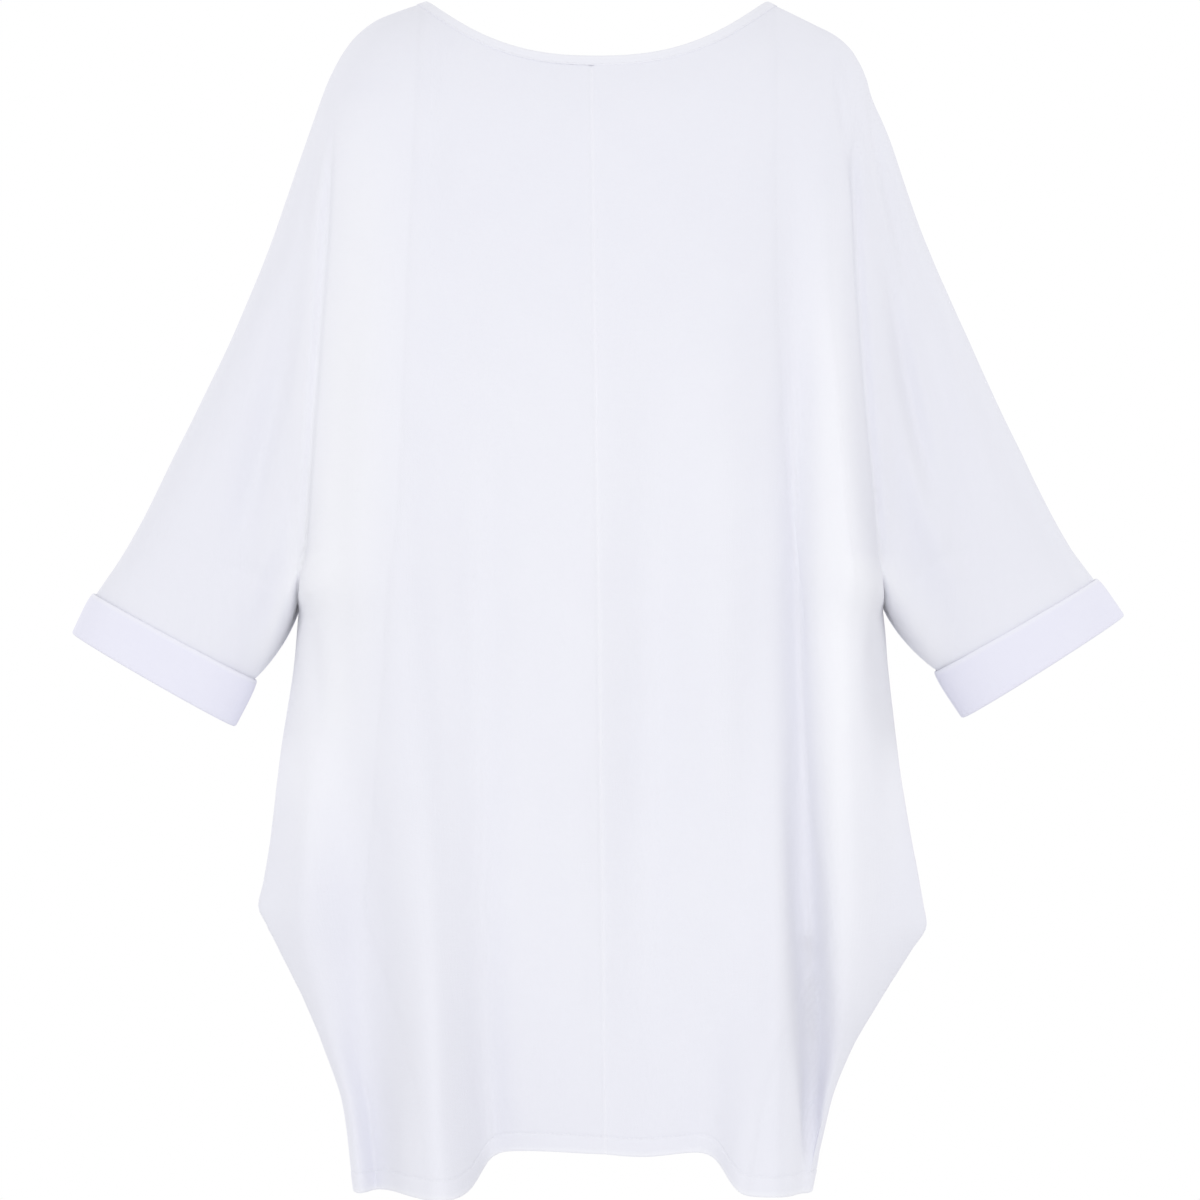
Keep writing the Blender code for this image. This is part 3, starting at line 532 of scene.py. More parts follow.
def body_depth(side, face, x, share, down):
    """Distance of the body's outer face in front of or behind the side seams."""
    full = body_value("front" if face == FRONT else "back", down)
    fold = fold_depth(face, down) - face * side_forward(down)
    section = (1 - share ** body_value("shape", down)) ** body_value("edge", down)
    turn_height = between(TURN_HEIGHT_CENTRE, TURN_HEIGHT_EDGE, share)
    below = np.clip((down - shoulder_down(side, np.abs(x))) / turn_height, 0, 1)
    fade = ease((1 - share) / SIDE_FADE)
    folds = body_folds(face, x, down) * ease((1 - share) / FOLDS_END)
    depth = between(fold, full, section) + folds
    if face == FRONT:
        depth = depth - RECESS_DEPTH * recess_share(x, down) * fade
    return np.sqrt(1 - (1 - below) ** 2) * depth


print("large folds:", len(BODY_FOLDS))

# %% [markdown]
# ## The body of a panel
#
# Each panel is a curved sheet: a grid of points, row by row from the neck and shoulder down
# to the hem. Rows and columns crowd together where the cloth turns or is sewn, because a
# smooth fold needs more points than a plain stretch.

# %% Body grid
SEAM_STEPS = (0.0, 0.0009, 0.0020, 0.0036, 0.0060, 0.0092)
NECK_COLUMNS = 38
SIDE_COLUMNS = 24
SIDE_CROWDING = 1.6
TURN_ROWS = 30
ARM_ROWS = 78
WING_ROWS = 56
HEM_ROWS = 42
HEM_STEPS = (0.022, 0.019, 0.0172, 0.016, 0.0152, 0.0145, 0.0138, 0.0128, 0.011, 0.009,
             0.0068, 0.0046, 0.0028, 0.0015, 0.0006, 0.0)
ARMPIT_ROW = TURN_ROWS + ARM_ROWS
NECK_END = len(SEAM_STEPS) + NECK_COLUMNS
HEM_DIP_COLUMNS = ("face", "x", "half_width", "drop")
HEM_DIPS = (
    (FRONT, 0.036, 0.030, 0.0050),
    (FRONT, -0.010, 0.026, 0.0015),
    (BACK, -0.060, 0.040, -0.0040),
    (BACK, 0.085, 0.040, -0.0050),
)
NECK_COVERED = 0.6
SMOOTH_LEAST = 0.003
SMOOTH_MOST = 0.045
SMOOTH_FALL = 0.6
SMOOTH_FROM = 0.090
SMOOTH_FULL = 0.220
SMOOTH_STEPS = 13
SMOOTH_SPAN = 2
NECK_CORNER = 0.1443
ROUNDING = 1e-9


def neck_share(side):
    """Share of the half width that the neck line takes."""
    return NECK_CORNER / half_width(side, 0.0)


def column_shares(side):
    """Places of a panel's columns, as shares of the half width."""
    neck = neck_share(side)
    first = SEAM_STEPS[-1] / NECK_CORNER
    turn = np.linspace(0, math.pi / 2, NECK_COLUMNS + 1)[1:]
    to_neck = [step / NECK_CORNER for step in SEAM_STEPS] + list(first + (1 - first) * np.sin(turn))
    to_side = 1 - (1 - np.linspace(0, 1, SIDE_COLUMNS + 1)[1:]) ** SIDE_CROWDING
    return np.array([neck * part for part in to_neck] + [neck + (1 - neck) * part for part in to_side])


def body_x(side, share, down):
    """Place across the body. The centre seam drifts a little on its way down."""
    drift = CENTRE_SEAM_TOP_X + (CENTRE_SEAM_HEM_X - CENTRE_SEAM_TOP_X) * down / SIDE_HEM_DOWN
    return side * share * half_width(side, down) + drift * np.clip(1 - share / neck_share(side), 0, 1)


def top_down(side, face, shares):
    """Height of a panel's upper edge: the neck line, then the shoulder seam."""
    x = body_x(side, shares, 0.0)
    on_neck = neck_down(side, face, x, NECK_COVERED)
    return np.where(shares <= neck_share(side) + ROUNDING, on_neck, shoulder_down(side, np.abs(x)))


def side_top(side):
    """Height of the upper edge at a panel's last column, where body and sleeve meet."""
    return top_down(side, FRONT, np.array([1.0]))[0]


def hem_down(side, face, shares):
    """Height of a panel's hem, which rises where the front hangs back."""
    x = body_x(side, shares, SIDE_HEM_DOWN)
    level = between(HEM_DOWN[face], SIDE_HEM_DOWN, ease((shares - 1 + SIDE_FADE) / SIDE_FADE))
    if face == FRONT:
        level = level - RECESS_HEM_RISE * recess_share(x, np.full(np.shape(x), SIDE_HEM_DOWN))
    for dip in rows_of_face(face, HEM_DIP_COLUMNS, HEM_DIPS):
        level = level + dip["drop"] * np.exp(-((x - dip["x"]) / dip["half_width"]) ** 2)
    return level


def row_parts(side):
    """Heights of a panel's rows, as shares of the way from its upper edge to its hem."""
    top = side_top(side)
    length = SIDE_HEM_DOWN - top
    turned = (1 - np.cos(np.linspace(0, math.pi / 2, TURN_ROWS + 1))) * TURN_HEIGHT_CENTRE / length
    armpit = (ARMPIT_DOWN - top) / length
    wing_tip = (WING_TIP_DOWN[side] - top) / length
    hem = 1 - np.array(HEM_STEPS) / length
    return np.concatenate([
        turned[:-1],
        np.linspace(turned[-1], armpit, ARM_ROWS + 1)[:-1],
        np.linspace(armpit, wing_tip, WING_ROWS + 1)[:-1],
        np.linspace(wing_tip, hem[0], HEM_ROWS + 1)[:-1],
        hem,
    ])


def smooth_body_depth(side, face, x, share, down):
    """The body's depth, evened out along the cloth's fall, less and less towards the side."""
    radius = SMOOTH_LEAST + SMOOTH_MOST * (1 - share) ** SMOOTH_FALL
    total = np.zeros(np.shape(x))
    weight = 0.0
    for step in np.linspace(-SMOOTH_SPAN, SMOOTH_SPAN, SMOOTH_STEPS):
        level = np.clip(down + step * radius, 0, SIDE_HEM_DOWN)
        level_share = np.clip(np.abs(x) / half_width(side, level), 0, 1)
        part = math.exp(-step * step)
        total = total + part * body_depth(side, face, x, level_share, level)
        weight += part
    from_top = down - shoulder_down(side, np.abs(x))
    smoothed = ease((from_top - SMOOTH_FROM) / (SMOOTH_FULL - SMOOTH_FROM))
    smoothed = smoothed * (share < 1)
    return body_depth(side, face, x, share, down) * (1 - smoothed) + total / weight * smoothed


def body_grid(side, face):
    """Outer points of the body part of a panel, as rows of columns."""
    shares = column_shares(side)
    top = top_down(side, face, shares)
    hem = hem_down(side, face, shares)
    rows = []
    for part in row_parts(side):
        down = between(top, hem, part)
        x = body_x(side, shares, down)
        depth = smooth_body_depth(side, face, x, shares, down)
        rows.append(np.stack([x, face * depth, -down], axis=1))
    return np.array(rows)


print("body grid:", body_grid(RIGHT, FRONT).shape)

# %% [markdown]
# ## The sleeve of a panel
#
# The sleeve grows out of the body at the fold beside the arm, so its first row is the body's
# last column. It narrows to the cuff as a flat oval that leans forward, as a bent arm does.

# %% Sleeve grid
CUFF_COLUMNS = ("side", "edge", "outer_x", "outer_down", "inner_x", "inner_down")
CUFF_CORNERS = (
    (RIGHT, "lower", 0.4170, 0.5040, 0.2872, 0.5785),
    (RIGHT, "upper", 0.4016, 0.4712, 0.2682, 0.5425),
    (LEFT, "lower", 0.4190, 0.4900, 0.2900, 0.5718),
    (LEFT, "upper", 0.3984, 0.4595, 0.2660, 0.5358),
)
CUFF_HEIGHT = 0.038
CUFF_STAND = 0.00285
CUFF_FLARE = 0.0013
CUFF_HALF_DEPTH = 0.032
CUFF_FORWARD = 0.026
SLEEVE_COLUMNS = ("along", "half_depth", "fullest", "square")
SLEEVE_LEVELS = (
    (0.00, 0.080, 0.52, 3.4),
    (0.15, 0.074, 0.52, 3.6),
    (0.40, 0.063, 0.52, 3.6),
    (0.70, 0.050, 0.52, 3.2),
    (1.00, CUFF_HALF_DEPTH, 0.50, 2.0),
)
SLEEVE_SWELL_WITHIN = 0.30
UNDERARM_BOW = 0.004
SLEEVE_ROWS = 92
SLEEVE_END_ROWS = 6
SLEEVE_END_UP = 0.0035
SLEEVE_FOLD_COLUMNS = ("face", "side", "top_across", "low_across", "from", "to", "width", "depth")
SLEEVE_FOLDS = (
    (FRONT, LEFT, 0.80, 0.40, 0.02, 0.62, 0.085, -0.007),
    (FRONT, LEFT, 0.46, 0.30, 0.15, 0.95, 0.100, 0.006),
    (FRONT, RIGHT, 0.66, 0.42, 0.10, 0.80, 0.100, -0.006),
    (FRONT, RIGHT, 0.30, 0.24, 0.15, 0.90, 0.090, 0.005),
    (BACK, LEFT, 0.70, 0.45, 0.05, 0.75, 0.095, -0.007),
    (BACK, RIGHT, 0.74, 0.40, 0.05, 0.70, 0.095, -0.007),
)


def cuff_edge(side, edge, inset):
    """Inner and outer ends, in X and Z, of a cuff's edge, each moved in by the inset."""
    rows = named_rows(CUFF_COLUMNS, CUFF_CORNERS)
    cuff = next(row for row in rows if row["side"] == side and row["edge"] == edge)
    outer = np.array([side * cuff["outer_x"], -cuff["outer_down"]])
    inner = np.array([side * cuff["inner_x"], -cuff["inner_down"]])
    across = (outer - inner) / np.linalg.norm(outer - inner)
    return inner + across * inset, outer - across * inset


def sleeve_end_edge(side, up):
    """The flattened sleeve's two edges at a height above the cuff's lower edge."""
    lower = cuff_edge(side, "lower", CUFF_STAND)
    upper = cuff_edge(side, "upper", CUFF_STAND + CUFF_FLARE)
    return [low + (high - low) * up / CUFF_HEIGHT for low, high in zip(lower, upper)]


def sleeve_value(name, along):
    """A column of the sleeve table, from the fold (0) to the cuff (1)."""
    return read_table(SLEEVE_LEVELS, SLEEVE_COLUMNS, name, along)


def oval_share(across, fullest, square=2.0):
    """Rounding of a sleeve section between its two seams: an oval, or a squarer form."""
    reach = np.where(across > fullest, 1 - fullest, fullest)
    return np.clip(1 - np.abs((across - fullest) / reach) ** square, 0, 1) ** (1 / square)


def places_along(line):
    """Distance of each point of a line from its start, along the line."""
    lengths = np.linalg.norm(np.diff(line, axis=0), axis=1)
    return np.concatenate([[0.0], np.cumsum(lengths)])


def overarm_seam(side, along):
    """Point of the overarm seam between the shoulder's end and the cuff's upper edge."""
    out, down = overarm_points(side)
    start_x = half_width(side, 0.0)
    end = sleeve_end_edge(side, CUFF_HEIGHT)[1]
    beyond = out > start_x
    points = [np.array([start_x, shoulder_down(side, start_x)])]
    points += list(np.stack([out[beyond], down[beyond]], axis=1))
    points = np.array(points + [np.array([abs(end[0]), -end[1]])])
    shares = places_along(points)
    shares = shares / shares[-1]
    return np.array([
        side * smooth_read(shares, points[:, 0], along),
        -smooth_read(shares, points[:, 1], along),
    ])


def sleeve_folds(side, face, across, along):
    """Sum of a sleeve's large folds at a point."""
    total = np.zeros(np.shape(across))
    for fold in rows_of_face(face, SLEEVE_FOLD_COLUMNS, SLEEVE_FOLDS):
        if fold["side"] != side:
            continue
        part = np.clip((along - fold["from"]) / (fold["to"] - fold["from"]), 0, 1)
        line = between(fold["top_across"], fold["low_across"], part)
        strength = np.sin(math.pi * part) ** 2
        total = total + fold["depth"] * strength * np.exp(-((across - line) / fold["width"]) ** 2)
    return total


def even_oval_places(count):
    """Places from the overarm (1) to the underarm (0), closer together at both seams."""
    return (1 + np.cos(math.pi * np.arange(count) / (count - 1))) / 2


def sleeve_middle(along):
    """How far the sleeve's middle leans forward."""
    return -CUFF_FORWARD * np.minimum(along, 1) ** 2


def sleeve_grid(side, face, fold_line):
    """Outer points of the sleeve part of a panel, outwards from the fold beside the body."""
    cuff_inner = sleeve_end_edge(side, CUFF_HEIGHT)[0]
    armpit = fold_line[-1][[0, 2]]
    shoulder = fold_line[0][[0, 2]]
    down_arm = (cuff_inner - armpit) / np.linalg.norm(cuff_inner - armpit)
    bow_in = UNDERARM_BOW * side * np.array([down_arm[1], -down_arm[0]])
    fold_places = (fold_line[:, 2] - armpit[1]) / (shoulder[1] - armpit[1])
    bow = fold_line[:, [0, 2]] - between(armpit, shoulder, fold_places[:, None])
    oval_places = even_oval_places(len(fold_line))
    rows = []
    for along in np.linspace(0, 1, SLEEVE_ROWS + 1)[1:]:
        over = overarm_seam(side, along)
        under = between(armpit, cuff_inner, along) + bow_in * 4 * along * (1 - along)
        across = between(fold_places, oval_places, ease(along))
        plan = between(under, over, across[:, None]) + bow * (1 - along) ** 2
        section = oval_share(across, sleeve_value("fullest", along), sleeve_value("square", along))
        full = sleeve_value("half_depth", along) * section
        swell = 1 - (1 - min(along / SLEEVE_SWELL_WITHIN, 1)) ** 2
        depth = (1 - swell) * np.abs(fold_line[:, 1]) + swell * full
        depth = depth + sleeve_folds(side, face, across, along) * np.sqrt(across * (1 - across)) * 2
        rows.append(np.stack([plan[:, 0], sleeve_middle(along) + face * depth, plan[:, 1]], axis=1))
    for up in np.linspace(CUFF_HEIGHT, SLEEVE_END_UP, SLEEVE_END_ROWS + 1)[1:]:
        inner, outer = sleeve_end_edge(side, up)
        end = between(inner, outer, oval_places[:, None])
        depth = CUFF_HALF_DEPTH * oval_share(oval_places, 0.5)
        rows.append(np.stack([end[:, 0], -CUFF_FORWARD + face * depth, end[:, 1]], axis=1))
    return np.array(rows)


print("sleeve grid:", sleeve_grid(RIGHT, FRONT, body_grid(RIGHT, FRONT)[:ARMPIT_ROW + 1, -1]).shape)

# %% [markdown]
# ## Creases placed one by one
#
# Small creases tell where the cloth is pulled and where it hangs. A sculptor would draw each
# one with a brush; here each is a row of a table: three points that it passes, seen from the
# front, and its own width, depth and end. A depth under 0 is a trough and over 0 a ridge. No
# two are alike, and the sides that the photograph hides have similar ones.

# %% Table of creases
CREASE_COLUMNS = (
    "face", "top_x", "top_down", "mid_x", "mid_down", "low_x", "low_down", "width", "depth", "open",
)
CREASES = (
    # front, between body and sleeves
    (FRONT, -0.205, 0.075, -0.2175, 0.250, -0.2320, 0.448, 0.0036, -0.0034, 1),
    (FRONT, 0.204, 0.058, 0.2048, 0.214, 0.2240, 0.442, 0.0036, -0.0038, 1),
    # front, left shoulder
    (FRONT, 0.183, 0.040, 0.191, 0.098, 0.204, 0.176, 0.0045, -0.0024, 0),
    (FRONT, 0.190, 0.050, 0.199, 0.100, 0.208, 0.160, 0.0050, 0.0016, 0),
    (FRONT, 0.214, 0.066, 0.224, 0.138, 0.246, 0.240, 0.0052, -0.0042, 0),
    (FRONT, 0.222, 0.086, 0.236, 0.150, 0.258, 0.230, 0.0060, 0.0018, 0),
    (FRONT, 0.236, 0.210, 0.262, 0.300, 0.296, 0.410, 0.0120, -0.0022, 0),
    (FRONT, 0.262, 0.240, 0.292, 0.330, 0.330, 0.430, 0.0130, 0.0016, 0),
    # front, right shoulder
    (FRONT, -0.129, 0.016, -0.127, 0.050, -0.125, 0.100, 0.0050, -0.0020, 0),
    (FRONT, -0.120, 0.022, -0.118, 0.060, -0.119, 0.110, 0.0070, 0.0010, 0),
    (FRONT, -0.214, 0.090, -0.224, 0.150, -0.240, 0.250, 0.0060, -0.0020, 0),
    (FRONT, -0.230, 0.200, -0.254, 0.300, -0.286, 0.420, 0.0120, -0.0020, 0),
    (FRONT, -0.262, 0.260, -0.290, 0.350, -0.322, 0.440, 0.0140, 0.0015, 0),
    # front, below the arms
    (FRONT, 0.224, 0.474, 0.214, 0.520, 0.210, 0.590, 0.0080, -0.0022, 0),
    (FRONT, -0.232, 0.474, -0.222, 0.526, -0.219, 0.600, 0.0080, -0.0020, 0),
    (FRONT, 0.244, 0.470, 0.268, 0.448, 0.300, 0.440, 0.0070, -0.0018, 0),
    (FRONT, -0.252, 0.474, -0.272, 0.456, -0.300, 0.452, 0.0070, -0.0018, 0),
    # front, long soft ones of the body
    (FRONT, -0.180, 0.260, -0.186, 0.420, -0.182, 0.600, 0.0110, 0.0020, 0),
    (FRONT, -0.160, 0.300, -0.164, 0.480, -0.168, 0.700, 0.0120, -0.0016, 0),
    (FRONT, -0.128, 0.420, -0.118, 0.620, -0.108, 0.915, 0.0120, -0.0034, 1),
    (FRONT, -0.066, 0.500, -0.064, 0.700, -0.060, 0.900, 0.0140, 0.0012, 1),
    (FRONT, -0.028, 0.620, -0.030, 0.760, -0.026, 0.905, 0.0110, -0.0010, 1),
    (FRONT, 0.058, 0.560, 0.062, 0.730, 0.066, 0.905, 0.0130, 0.0012, 1),
    (FRONT, 0.032, 0.700, 0.040, 0.800, 0.046, 0.905, 0.0100, -0.0010, 1),
    (FRONT, 0.158, 0.330, 0.166, 0.460, 0.172, 0.620, 0.0100, 0.0022, 0),
    (FRONT, 0.186, 0.420, 0.194, 0.520, 0.205, 0.640, 0.0090, -0.0012, 0),
    (FRONT, 0.148, 0.560, 0.160, 0.760, 0.170, 0.935, 0.0080, -0.0036, 1),
    (FRONT, -0.176, 0.700, -0.176, 0.820, -0.180, 0.935, 0.0100, 0.0014, 1),
    (FRONT, 0.226, 0.600, 0.232, 0.680, 0.228, 0.760, 0.0120, -0.0016, 0),
    (FRONT, -0.236, 0.600, -0.238, 0.690, -0.230, 0.770, 0.0120, -0.0016, 0),
    # back, shoulders and upper back
    (BACK, 0.180, 0.046, 0.190, 0.110, 0.198, 0.190, 0.0055, -0.0024, 0),
    (BACK, 0.216, 0.080, 0.230, 0.160, 0.256, 0.270, 0.0065, -0.0028, 0),
    (BACK, -0.178, 0.040, -0.190, 0.110, -0.204, 0.200, 0.0060, -0.0026, 0),
    (BACK, -0.218, 0.086, -0.232, 0.170, -0.250, 0.260, 0.0060, -0.0024, 0),
    (BACK, -0.140, 0.070, -0.040, 0.110, 0.060, 0.090, 0.0110, -0.0014, 0),
    (BACK, -0.060, 0.130, 0.050, 0.150, 0.150, 0.110, 0.0130, -0.0013, 0),
    # back, sleeves
    (BACK, 0.240, 0.230, 0.272, 0.330, 0.312, 0.430, 0.0120, -0.0024, 0),
    (BACK, 0.270, 0.230, 0.306, 0.330, 0.346, 0.420, 0.0110, 0.0014, 0),
    (BACK, -0.238, 0.220, -0.262, 0.320, -0.296, 0.440, 0.0120, -0.0024, 0),
    (BACK, -0.272, 0.260, -0.300, 0.350, -0.338, 0.430, 0.0110, 0.0014, 0),
    # back, below the arms
    (BACK, 0.226, 0.476, 0.212, 0.530, 0.204, 0.620, 0.0090, -0.0024, 0),
    (BACK, -0.234, 0.476, -0.222, 0.530, -0.212, 0.610, 0.0090, -0.0024, 0),
    (BACK, 0.246, 0.470, 0.270, 0.452, 0.304, 0.446, 0.0070, -0.0018, 0),
    (BACK, -0.254, 0.474, -0.276, 0.458, -0.306, 0.452, 0.0070, -0.0018, 0),
    # back, long soft ones of the body
    (BACK, -0.178, 0.300, -0.184, 0.470, -0.180, 0.680, 0.0110, 0.0018, 0),
    (BACK, -0.104, 0.380, -0.108, 0.620, -0.104, 0.930, 0.0120, -0.0020, 1),
    (BACK, -0.036, 0.460, -0.032, 0.680, -0.034, 0.930, 0.0130, 0.0014, 1),
    (BACK, 0.046, 0.400, 0.050, 0.640, 0.048, 0.930, 0.0120, -0.0018, 1),
    (BACK, 0.118, 0.440, 0.118, 0.660, 0.116, 0.930, 0.0110, 0.0016, 1),
    (BACK, 0.172, 0.320, 0.178, 0.500, 0.172, 0.720, 0.0110, -0.0016, 0),
    (BACK, 0.228, 0.600, 0.232, 0.690, 0.226, 0.770, 0.0120, -0.0016, 0),
    (BACK, -0.234, 0.600, -0.238, 0.690, -0.230, 0.770, 0.0120, -0.0016, 0),
)
print("creases:", len(CREASES))

# %% Height of the creases and of the cloth's own unevenness
CREASE_SAMPLES = 160
CREASE_REACH = 4.0
CREASE_SWELL = 0.9
OPEN_START = 3
OPEN_END = 8
OPEN_END_LEAST = 0.5
RIPPLE_COLUMNS = ("size", "height")
RIPPLES = ((0.085, 0.0011), (0.038, 0.0005), (0.016, 0.00016))
RIPPLE_STRETCH = (1.0, 1.0, 0.55)


def crease_height(face, points):
    """Height of all creases of a face at the points of its sheet."""
    total = np.zeros(len(points))
    plan = points[:, [0, 2]]
    along = np.linspace(0, 1, CREASE_SAMPLES)[:, None]
    for crease in rows_of_face(face, CREASE_COLUMNS, CREASES):
        corners = [np.array([crease[p + "_x"], -crease[p + "_down"]]) for p in ("top", "mid", "low")]
        pulled = 2 * corners[1] - (corners[0] + corners[2]) / 2
        line = (1 - along) ** 2 * corners[0] + 2 * along * (1 - along) * pulled + along ** 2 * corners[2]
        reach = CREASE_REACH * crease["width"]
        inside = (plan > line.min(axis=0) - reach) & (plan < line.max(axis=0) + reach)
        near = np.where(inside.all(axis=1))[0]
        away = np.linalg.norm(plan[near, None] - line[None], axis=2)
        nearest = away.argmin(axis=1)
        part = along[nearest, 0]
        if crease["open"]:
            strength = ease(part * OPEN_START) * ease((1 - part) * OPEN_END + OPEN_END_LEAST)
        else:
            strength = np.sin(math.pi * part) ** CREASE_SWELL
        total[near] += crease["depth"] * strength * np.exp(-(away.min(axis=1) / crease["width"]) ** 2)
    return total


def noise_at(places):
    """Smooth noise at each place."""
    return np.array([noise.noise(Vector(place)) for place in places])


def ripple_height(points):
    """Low, uneven swells that keep plain stretches of cloth from looking stiff."""
    total = np.zeros(len(points))
    for ripple in named_rows(RIPPLE_COLUMNS, RIPPLES):
        scaled = points / ripple["size"] * np.array(RIPPLE_STRETCH)
        total += ripple["height"] * noise_at(scaled)
    return total


print("ripples:", [size for size, height in RIPPLES])

# %% [markdown]
# ## Sewing: seams and hem
#
# Cloth sinks where it is sewn. Along each seam both panels dip into a narrow trough, puckered
# a little by the thread, and the allowance turned to the inside makes the wall thicker. The
# hem is turned up and stitched 15 mm above its edge: a flat band that ends in a small step.

# %% Seam and hem profiles
CLOTH_THICK = 0.0007
ALLOWANCE = 0.0095
ALLOWANCE_THICK = 0.0006
SEAM_POINTS_APART = 0.0015
SEAM_SINK = 0.0007
SEAM_SINK_WIDTH = 0.0016
PUCKER = 0.00028
PUCKER_LENGTH = 0.011
PUCKER_WIDTH = 3 * SEAM_SINK_WIDTH
HEM_STITCH_UP = 0.0148
HEM_RISE = 0.00035
HEM_STEP = 0.0012
HEM_GROOVE = 0.0004
HEM_GROOVE_WIDTH = 0.0009
HEM_THICK = 0.0008
HEM_EDGE_ROUND = 0.0010
POINTS_AT_ONCE = 64


def distance_to_line(points, line):
    """Distance of each point to the nearest point of a densely drawn line."""
    nearest = np.full(len(points), np.inf)
    for start in range(0, len(line), POINTS_AT_ONCE):
        part = line[start:start + POINTS_AT_ONCE]
        away = np.linalg.norm(points[:, None] - part[None], axis=2).min(axis=1)
        nearest = np.minimum(nearest, away)
    return nearest


def read_line(places, values, at):
    """A line's points or directions, read at other distances along it."""
    return np.stack([np.interp(at, places, values[:, i]) for i in range(3)], axis=1)


def dense_line(points):
    """The same line with points at equal steps."""
    places = places_along(points)
    return read_line(places, points, np.arange(0, places[-1], SEAM_POINTS_APART))


def seam_height(points, away):
    """Trough and puckers beside a seam."""
    trough = -SEAM_SINK * np.exp(-(away / SEAM_SINK_WIDTH) ** 2)
    pucker = PUCKER * noise_at(points / PUCKER_LENGTH)
    return trough + pucker * np.exp(-(away / PUCKER_WIDTH) ** 2)


def hem_height(up):
    """Height of the hem band: a low step, a stitched groove and a rounded edge."""
    band = HEM_RISE * ease((HEM_STITCH_UP - up) / HEM_STEP)
    groove = -HEM_GROOVE * np.exp(-((up - HEM_STITCH_UP) / HEM_GROOVE_WIDTH) ** 2)
    edge = -HEM_RISE * (1 - ease(up / HEM_EDGE_ROUND))
    return band + groove + edge


print("hem stitched at", HEM_STITCH_UP, "m above the edge")

# %% [markdown]
# ## Paler cloth: painted light, and cloth behind
#
# Thin white cloth looks whiter and less lilac where other layers hang close behind it, as in
# the body's middle, in the folds along both sides and under the arms. Most of this paleness is
# painted light: the middle is painted paler and darker again towards the hem, the bands along
# the side folds are painted highlights, and under the arms the paler colour is painted over
# the shade between sleeve and body. A painter would brush this on as a soft mask. Here one
# wide area is set by its edges, and each band is a row of a table: it runs from one point down
# to another and has its own width and share of the doubled cloth's colour.

# %% Bands of paler cloth and painted light
# how much paler the body's middle is painted, as painted light, and where it fades
PAINTED_MIDDLE_LIGHT = 0.24
PAINTED_MIDDLE_OUT = 0.190
PAINTED_MIDDLE_SOFT = 0.110
PAINTED_MIDDLE_FROM = 0.12
PAINTED_MIDDLE_GROWS = 0.28
PAINTED_MIDDLE_TO = 0.68
PAINTED_MIDDLE_ENDS = 0.22
PAINTED_MIDDLE_LOSS = 0.75
PAINTED_BAND_SWELL = 0.7
PAINTED_LIGHT_COLUMNS = ("face", "top_x", "top_down", "low_x", "low_down", "width", "share")
PAINTED_LIGHT_BANDS = (
    # front, along the folds at both sides: painted highlights
    (FRONT, 0.182, 0.150, 0.196, 0.820, 0.026, 0.62),
    (FRONT, 0.176, 0.240, 0.180, 0.880, 0.014, 0.50),
    (FRONT, 0.230, 0.400, 0.234, 0.700, 0.014, 0.40),
    (FRONT, -0.238, 0.400, -0.242, 0.640, 0.014, 0.40),
    (FRONT, -0.180, 0.080, -0.216, 0.700, 0.034, 0.95),
    # front, under the arms: paler colour painted over the shade there
    (FRONT, 0.207, 0.440, 0.281, 0.560, 0.026, 1.00),
    (FRONT, -0.216, 0.440, -0.277, 0.560, 0.015, 1.00),
    # back, along the sides: paler bands painted the same way
    (BACK, 0.180, 0.200, 0.188, 0.760, 0.024, 0.30),
    (BACK, -0.184, 0.160, -0.190, 0.700, 0.024, 0.30),
)


def painted_light_and_backing(face, points):
    """How much whiter the thin cloth is painted, as painted light over the layers behind it."""
    # painted light: a paler middle that fades towards the hem, then the painted bands
    out = np.abs(points[:, 0])
    down = -points[:, 2]
    lower = 1 - PAINTED_MIDDLE_LOSS * ease((down - PAINTED_MIDDLE_TO) / PAINTED_MIDDLE_ENDS)
    middle = ease((down - PAINTED_MIDDLE_FROM) / PAINTED_MIDDLE_GROWS) * lower
    total = PAINTED_MIDDLE_LIGHT * ease((PAINTED_MIDDLE_OUT - out) / PAINTED_MIDDLE_SOFT) * middle
    for band in rows_of_face(face, PAINTED_LIGHT_COLUMNS, PAINTED_LIGHT_BANDS):
        along, line_x = line_at(band, down)
        strength = band["share"] * np.sin(math.pi * along) ** PAINTED_BAND_SWELL
        total += strength * np.exp(-((points[:, 0] - line_x) / band["width"]) ** 2)
    return total


print("paler bands:", len(PAINTED_LIGHT_BANDS))

# %% [markdown]
# ## From a grid to a piece of cloth
#
# A sheet has no thickness, so an inner sheet follows it at the thickness of the cloth, and
# rims close the two into one thin wall. Solidify would do this with one thickness, but seams
# and hems are thicker, and beside a seam the inner sheet must not cross to the other panel.

# %% Normals, walls and maps
SHARP_ANGLE = math.radians(60)


def unit(vectors):
    """The same directions, each with a length of one."""
    return vectors / np.linalg.norm(vectors, axis=1)[:, None]


def grid_faces(numbers):
    """Four-cornered faces that fill a grid of point numbers."""
    upper, lower = numbers[:-1], numbers[1:]
    corners = (upper[:, :-1], upper[:, 1:], lower[:, 1:], lower[:, :-1])
    return np.stack([c.ravel() for c in corners], axis=1)


def sheet_normals(points, faces):
    """Outward directions at a sheet's points, weighted by the faces' areas."""
    across = points[faces[:, 2]] - points[faces[:, 0]]
    down = points[faces[:, 3]] - points[faces[:, 1]]
    lean = np.cross(across, down)
    normals = np.zeros(points.shape)
    for corner in range(4):
        np.add.at(normals, faces[:, corner], lean)
    return unit(normals)


